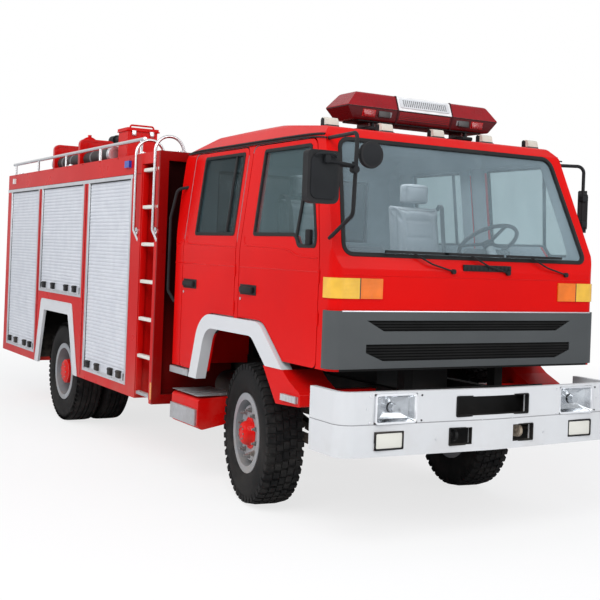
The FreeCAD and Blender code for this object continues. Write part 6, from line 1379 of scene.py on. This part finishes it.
def makeBodyTrim():
    form = bmesh.new()
    for side in (-1, 1):
        # folded lip round the rear arch frames
        for shape, bend in ((archOuter, 0.06), (archInner, 0.05)):
            line = [(axleRear + y, z) for y, z in shape]
            points = []
            for i, (y, z) in enumerate(line):
                if 0 < i < 3:
                    before, after = Vector(line[i - 1]), Vector(line[i + 1])
                    here = Vector((y, z))
                    points += [tuple(here + (before - here).normalized() * bend), (y, z),
                               tuple(here + (after - here).normalized() * bend)]
                else:
                    points.append((y, z))
            tubeForm(form, [(side * 1.2445, y, z) for y, z in points], 0.0055, 8)
    finishPiece(form, "archLips", [white], "vehicle")
    form = bmesh.new()
    for side in (-1, 1):
        wide = (1.238, 1.2435)
        for y in (0.855, 2.425):
            sideBlock(form, side, wide, (y - 0.0015, y + 0.0015), (0.56, 2.46))
        sideBlock(form, side, wide, (-0.60, 3.81), (2.4895, 2.4925))
        for y in (-0.45, 0.0, 0.5, 1.0, 1.5, 2.0, 2.5, 3.0, 3.5):
            addRod(form, (side * 1.238, y, 2.655), (side * 1.2425, y, 2.655), 0.006, 10, 0)
    finishPiece(form, "bodySeams", [shadeRed], "vehicle")


def makeRoofFittings():
    form = bmesh.new()
    for side in (-1, 1):
        for y in (-0.50, 1.525, 3.40):
            flange = [(0.0, 0.0), (0.0, 0.042), (0.006, 0.042), (0.010, 0.026), (0.020, 0.0225), (0.020, 0.0)]
            addTurned(form, flange, (side * 1.195, y, 2.666), (0, 0, 1), 24)
        for y in (-0.979, -0.547):
            addRod(form, (side * 1.236, y, 1.985), (side * 1.252, y, 1.985), 0.034, 20, 0)
            addRod(form, (side * 1.03, y, 2.664), (side * 1.03, y, 2.676), 0.036, 20, 0)
    finishPiece(form, "railFlanges", [stainless], "vehicle", smooth=0.5)
    form = bmesh.new()
    z = hoses["z"]
    for x in hoses["x"]:
        for y in hoses["bands"]:
            atEnd = y in (hoses["bands"][0], hoses["bands"][-1])
            wide = 0.016 if atEnd else 0.020
            radius = 0.0875 if atEnd else 0.0765
            addTurned(form, band(wide, radius - 0.004, radius), (x, y, z), (0, 1, 0), slot=1 if atEnd else 0)
        for y in hoses["ends"]:
            push = -0.014 if y < 2 else 0.014
            cap = [(0.0, 0.086), (push, 0.080), (push, 0.050), (push * 0.3, 0.046), (push * 0.3, 0.0)]
            addTurned(form, cap, (x, y, z), (0, 1, 0), slot=1)
            for i in range(4):
                angle = math.pi * (i + 0.5) / 2
                spot = Vector((x + 0.088 * math.cos(angle), y - push * 2, z + 0.088 * math.sin(angle)))
                addBall(form, spot, 0.014, (1, 1.3, 1), 1, 10)
    finishPiece(form, "hoseBands", [bandGrey, alu], "vehicle", smooth=0.6)
    form = bmesh.new()
    disc = [(-0.020, 0.0), (-0.020, 0.085), (-0.012, 0.100), (0.012, 0.100), (0.020, 0.085), (0.020, 0.0)]
    addTurned(form, disc, (-0.900, 1.831, 2.925), (0, 1, 0), 40)
    addRod(form, (-0.900, 1.795, 2.925), (-0.900, 1.867, 2.925), 0.028, 20, 1)
    addRod(form, (-0.900, 1.831, 3.020), (-0.900, 1.831, 3.046), 0.020, 16, 0)
    for y in (1.803, 2.715):
        addRing(form, rect("y", y - 0.006, (-1.014, 2.668), (-0.620, 2.998)), 0.058, 0.026, (0, 0.068, 0),
                0, 0.004)
    finishPiece(form, "bracketFlanges", [red, steel], "vehicle", smooth=0.5)
    form = bmesh.new()
    addBlock(form, (-0.9135, 0.656, 3.000), (-0.566, 0.944, 3.0125), 0.003, 0)
    addBlock(form, (-0.905, 0.664, 2.668), (-0.583, 0.936, 2.684), 0.003, 0)
    for x in (-0.84, -0.65):
        addBlock(form, (x - 0.022, 0.655, 2.955), (x + 0.022, 0.672, 3.008), 0.003, 1)
    finishPiece(form, "roofBoxEdges", [red, stainless], "vehicle", smooth=0.5)
    form = bmesh.new()
    for y, radius in ((3.565, 0.0605), (3.43, 0.0615)):
        addTurned(form, band(0.012, radius - 0.006, radius), (0, y, 3.19), (0, 1, 0))
    tubeForm(form, [(0.0, 2.93, 3.232), (0.0, 2.88, 3.27), (0.0, 2.83, 3.275), (0.0, 2.74, 3.275)], 0.010,
             8, 1)
    finishPiece(form, "monitorRings", [blackPlastic, steel], "monitor_barrel", smooth=0.5)


def makeStepTreads():
    # A thin tread plate on top of each step box.
    form = bmesh.new()
    for side in (-1, 1):
        sideBlock(form, side, (0.82, 1.1665), (-1.765, -1.275), (0.7005, 0.7045), 0.001)
    finishPiece(form, "stepPlates", [plateAlu], "vehicle")


shadeRed = paint("paintShade", (0.10, 0.002, 0.002), (0.07, 0.001, 0.001), roughness=0.5, coat=0.0, dust=0.2)
bandGrey = plastic("bandGrey", (0.22, 0.23, 0.24), (0.15, 0.155, 0.16), 0.5, 120, 0.0005, 0.5)
makeLadder()
makeBodyTrim()
makeRoofFittings()
makeStepTreads()
print("body details made")


# Seats: padded forms, swollen by a cloth simulation, then seamed

seats = {"cap": 0.024, "pressure": 4.0, "gap": 0.013, "channel": 0.007, "channelWide": 0.011, "welt": 0.004,
         "stiff": 12, "frames": 20}
pads = {
    "front": [
        ("bottom", (-0.770, -2.835, 1.590), (-0.270, -2.355, 1.720), 0.0, 0.012),
        ("bottom", (0.270, -2.835, 1.590), (0.770, -2.355, 1.720), 0.0, 0.012),
        ("back", (-0.770, -2.355, 1.594), (-0.270, -2.235, 2.276), 0.139, 0.012),
        ("back", (0.270, -2.355, 1.594), (0.770, -2.235, 2.276), 0.139, 0.012),
        ("head", (-0.655, -2.259, 2.284), (-0.385, -2.139, 2.450), 0.0, 0.009),
        ("head", (0.385, -2.259, 2.284), (0.655, -2.139, 2.450), 0.0, 0.009),
    ],
    "rear": [
        ("bottom", (-0.915, -1.765, 1.590), (0.915, -1.290, 1.720), 0.0, 0.016),
        ("back", (-0.915, -1.285, 1.724), (0.915, -1.168, 1.947), 0.0, 0.016),
    ],
}


def swollen(low, high, voxel, flat):
    # One pad: a rounded block, remeshed, then blown up as cloth.
    # Returns the resting and the swollen points and faces.
    form = bmesh.new()
    gap = seats["gap"]
    inset = Vector((gap, gap, gap * 0.4))
    addBlock(form, Vector(low) + inset, Vector(high) - inset, 0.026, 0, 4)
    mesh = bpy.data.meshes.new("pad")
    form.to_mesh(mesh)
    form.free()
    pad = bpy.data.objects.new("pad", mesh)
    bpy.context.scene.collection.objects.link(pad)
    remesh = pad.modifiers.new("remesh", "REMESH")
    remesh.mode = "VOXEL"
    remesh.voxel_size = voxel
    graph = bpy.context.evaluated_depsgraph_get()
    fine = bpy.data.meshes.new_from_object(pad.evaluated_get(graph))
    pad.modifiers.clear()
    pad.data = fine
    rest = [vertex.co.copy() for vertex in fine.vertices]
    held = pad.vertex_groups.new(name="held")
    direction = Vector((0, 1, 0)) if flat == "back" else Vector((0, 0, -1))
    for vertex in fine.vertices:
        if vertex.normal.dot(direction) > 0.8:
            held.add([vertex.index], 1.0, "REPLACE")
    moved = rest
    cover = pad.modifiers.new("cloth", "CLOTH")
    settings = cover.settings
    settings.quality = 4
    settings.mass = 0.3
    settings.use_pressure = True
    settings.uniform_pressure_force = seats["pressure"]
    settings.effector_weights.gravity = 0
    settings.tension_stiffness = seats["stiff"]
    settings.compression_stiffness = seats["stiff"]
    settings.bending_stiffness = 0.6
    settings.vertex_group_mass = "held"
    cover.point_cache.frame_start = 1
    cover.point_cache.frame_end = seats["frames"]
    scene = bpy.context.scene
    for step in range(seats["frames"]):
        scene.frame_set(step + 1)
    graph = bpy.context.evaluated_depsgraph_get()
    blown = bpy.data.meshes.new_from_object(pad.evaluated_get(graph))
    moved = []
    for vertex, start in zip(blown.vertices, rest):
        push = vertex.co - start
        if push.length > seats["cap"]:
            push = push.normalized() * seats["cap"]
        moved.append(start + push)
    bpy.data.meshes.remove(blown)
    scene.frame_set(1)
    faces = [tuple(face.vertices) for face in fine.polygons]
    bpy.data.objects.remove(pad)
    bpy.data.meshes.remove(fine)
    bpy.data.meshes.remove(mesh)
    return rest, moved, faces


def channels(kind, low, high, point):
    # How deep the nearest sewn line draws the cover in at a point of the resting form.
    middle = (Vector(low) + Vector(high)) / 2
    half = (Vector(high) - Vector(low)) / 2
    x = point.x - middle.x
    seatCount = max(1, round(half.x / 0.25))
    across = "y" if kind == "bottom" else "z"
    run = getattr(point, across) - getattr(middle, across)
    reach = getattr(half, across)
    lines = []
    for i in range(seatCount):
        centre = -half.x + (2 * i + 1) * half.x / seatCount
        wide = half.x / seatCount
        lines += [abs(x - centre - wide * 0.55), abs(x - centre + wide * 0.55)]
        if abs(x - centre) < wide * 0.55:
            lines += [abs(run - reach * share) for share in (-0.62, -0.2, 0.22, 0.62)]
    near = min(lines)
    return seats["channel"] * math.exp(-(near / seats["channelWide"]) ** 2)


def padForm(form, kind, low, high, lean, voxel):
    rest, moved, faces = swollen(low, high, voxel, kind)
    middle = (Vector(low) + Vector(high)) / 2
    front = Vector((0, 0, 1)) if kind == "bottom" else Vector((0, -1, 0))
    out = []
    for start, place in zip(rest, moved):
        facing = (start - middle).dot(front)
        point = place.copy()
        if facing > 0.02 and kind != "head":
            point = point - front * channels(kind, low, high, start)
        point.y += lean * (point.z - low[2])
        out.append(point)
    mesh = bpy.data.meshes.new("pad")
    mesh.from_pydata(out, [], faces)
    mesh.update()
    form.from_mesh(mesh)
    bpy.data.meshes.remove(mesh)
    # the welt runs round the front face where the side panels are sewn on
    tree = kdtree.KDTree(len(rest))
    for index, point in enumerate(rest):
        tree.insert(point, index)
    tree.balance()
    gap = seats["gap"] + 0.010
    steps = 10
    upward = 1 if kind == "bottom" else 2
    a, b = ((low[axis] + gap, high[axis] - gap) for axis in (0, upward))
    corners = [(a[0], b[0]), (a[1], b[0]), (a[1], b[1]), (a[0], b[1])]
    line = []
    for i in range(4):
        first, second = Vector(corners[i]), Vector(corners[(i + 1) % 4])
        for step in range(steps):
            u, v = first.lerp(second, (step + 0.5) / steps)
            spot = (u, v, high[2] - 0.004) if kind == "bottom" else (u, low[1] + seats["gap"], v)
            line.append(out[tree.find(Vector(spot))[1]])
    tubeForm(form, line, seats["welt"], 8, 1, closed=True, round=3)


def makeSeats():
    for name, group in pads.items():
        form = bmesh.new()
        for kind, low, high, lean, voxel in group:
            padForm(form, kind, low, high, lean, voxel)
        thing = finishPiece(form, name + "SeatPads", [seatCloth, weltCloth], "vehicle",
                            replaces=("seat_cushions",) if name == "front" else (), smooth=0)
        thing.data.shade_smooth()
        soften = thing.modifiers.new("soften", "SUBSURF")
        soften.levels = 1
        soften.render_levels = 1
        print(name, "seat pads made")


def makeCabInside():
    form = bmesh.new()
    # instrument hood, dials, vents, radio and glove-box lid on the dashboard
    addPad(form, rect("y", -3.150, (0.300, 1.800), (0.740, 1.930)), (0, 0.020, 0), 0.030, 0.006, 0)
    for x, radius in ((0.40, 0.045), (0.52, 0.030), (0.64, 0.045)):
        addRod(form, (x, -3.132, 1.865), (x, -3.126, 1.865), radius, 28, 1)
        addRod(form, (x, -3.128, 1.865), (x, -3.122, 1.865), radius * 0.86, 28, 2)
    for x in (-0.86, -0.26, 0.12, 0.88):
        addPad(form, rect("y", -3.138, (x - 0.07, 1.820), (x + 0.07, 1.890)), (0, 0.008, 0), 0.010, 0.002, 0)
        for i in range(5):
            z = 1.830 + i * 0.0125
            addBlock(form, (x - 0.06, -3.131, z), (x + 0.06, -3.127, z + 0.005), 0.001, 2)
    addPad(form, rect("y", -3.138, (-0.76, 1.600), (-0.30, 1.760)), (0, 0.010, 0), 0.020, 0.003, 0)
    addPad(form, rect("y", -3.138, (-0.14, 1.680), (0.08, 1.740)), (0, 0.010, 0), 0.006, 0.002, 2)
    finishPiece(form, "dashDetails", [dashPlastic, steel, blackPlastic], "vehicle", smooth=0.5)
    form = bmesh.new()
    # seat belts on the front backs
    for side in (-1, 1):
        x = side * 0.52
        line = [(x + side * 0.235, -2.205, 2.24), (x + side * 0.225, -2.262, 2.292),
                (x + side * 0.215, -2.300, 2.270), (x + side * 0.20, -2.330, 2.18),
                (x + side * 0.195, -2.392, 1.78)]
        part = bmesh.new()
        previous = None
        for point in line:
            here = [part.verts.new(Vector(point) + Vector((offset, 0, 0))) for offset in (-0.022, 0.022)]
            if previous:
                part.faces.new((previous[0], previous[1], here[1], here[0]))
            previous = here
        bmesh.ops.solidify(part, geom=part.faces[:], thickness=0.002)
        pour(form, part, 0)
    finishPiece(form, "seatBelts", [beltWeb], "vehicle", smooth=0.5)


weltCloth = cloth("weltGrey", (0.10, 0.105, 0.115), (0.07, 0.075, 0.08))
beltWeb = cloth("beltWeb", (0.05, 0.05, 0.055), (0.03, 0.03, 0.035))
dashPlastic = plastic("dashPlastic", (0.11, 0.115, 0.12), (0.08, 0.085, 0.09), 0.6, 260, 0.0004, 0.2)
makeSeats()
makeCabInside()
print("cab inside made")
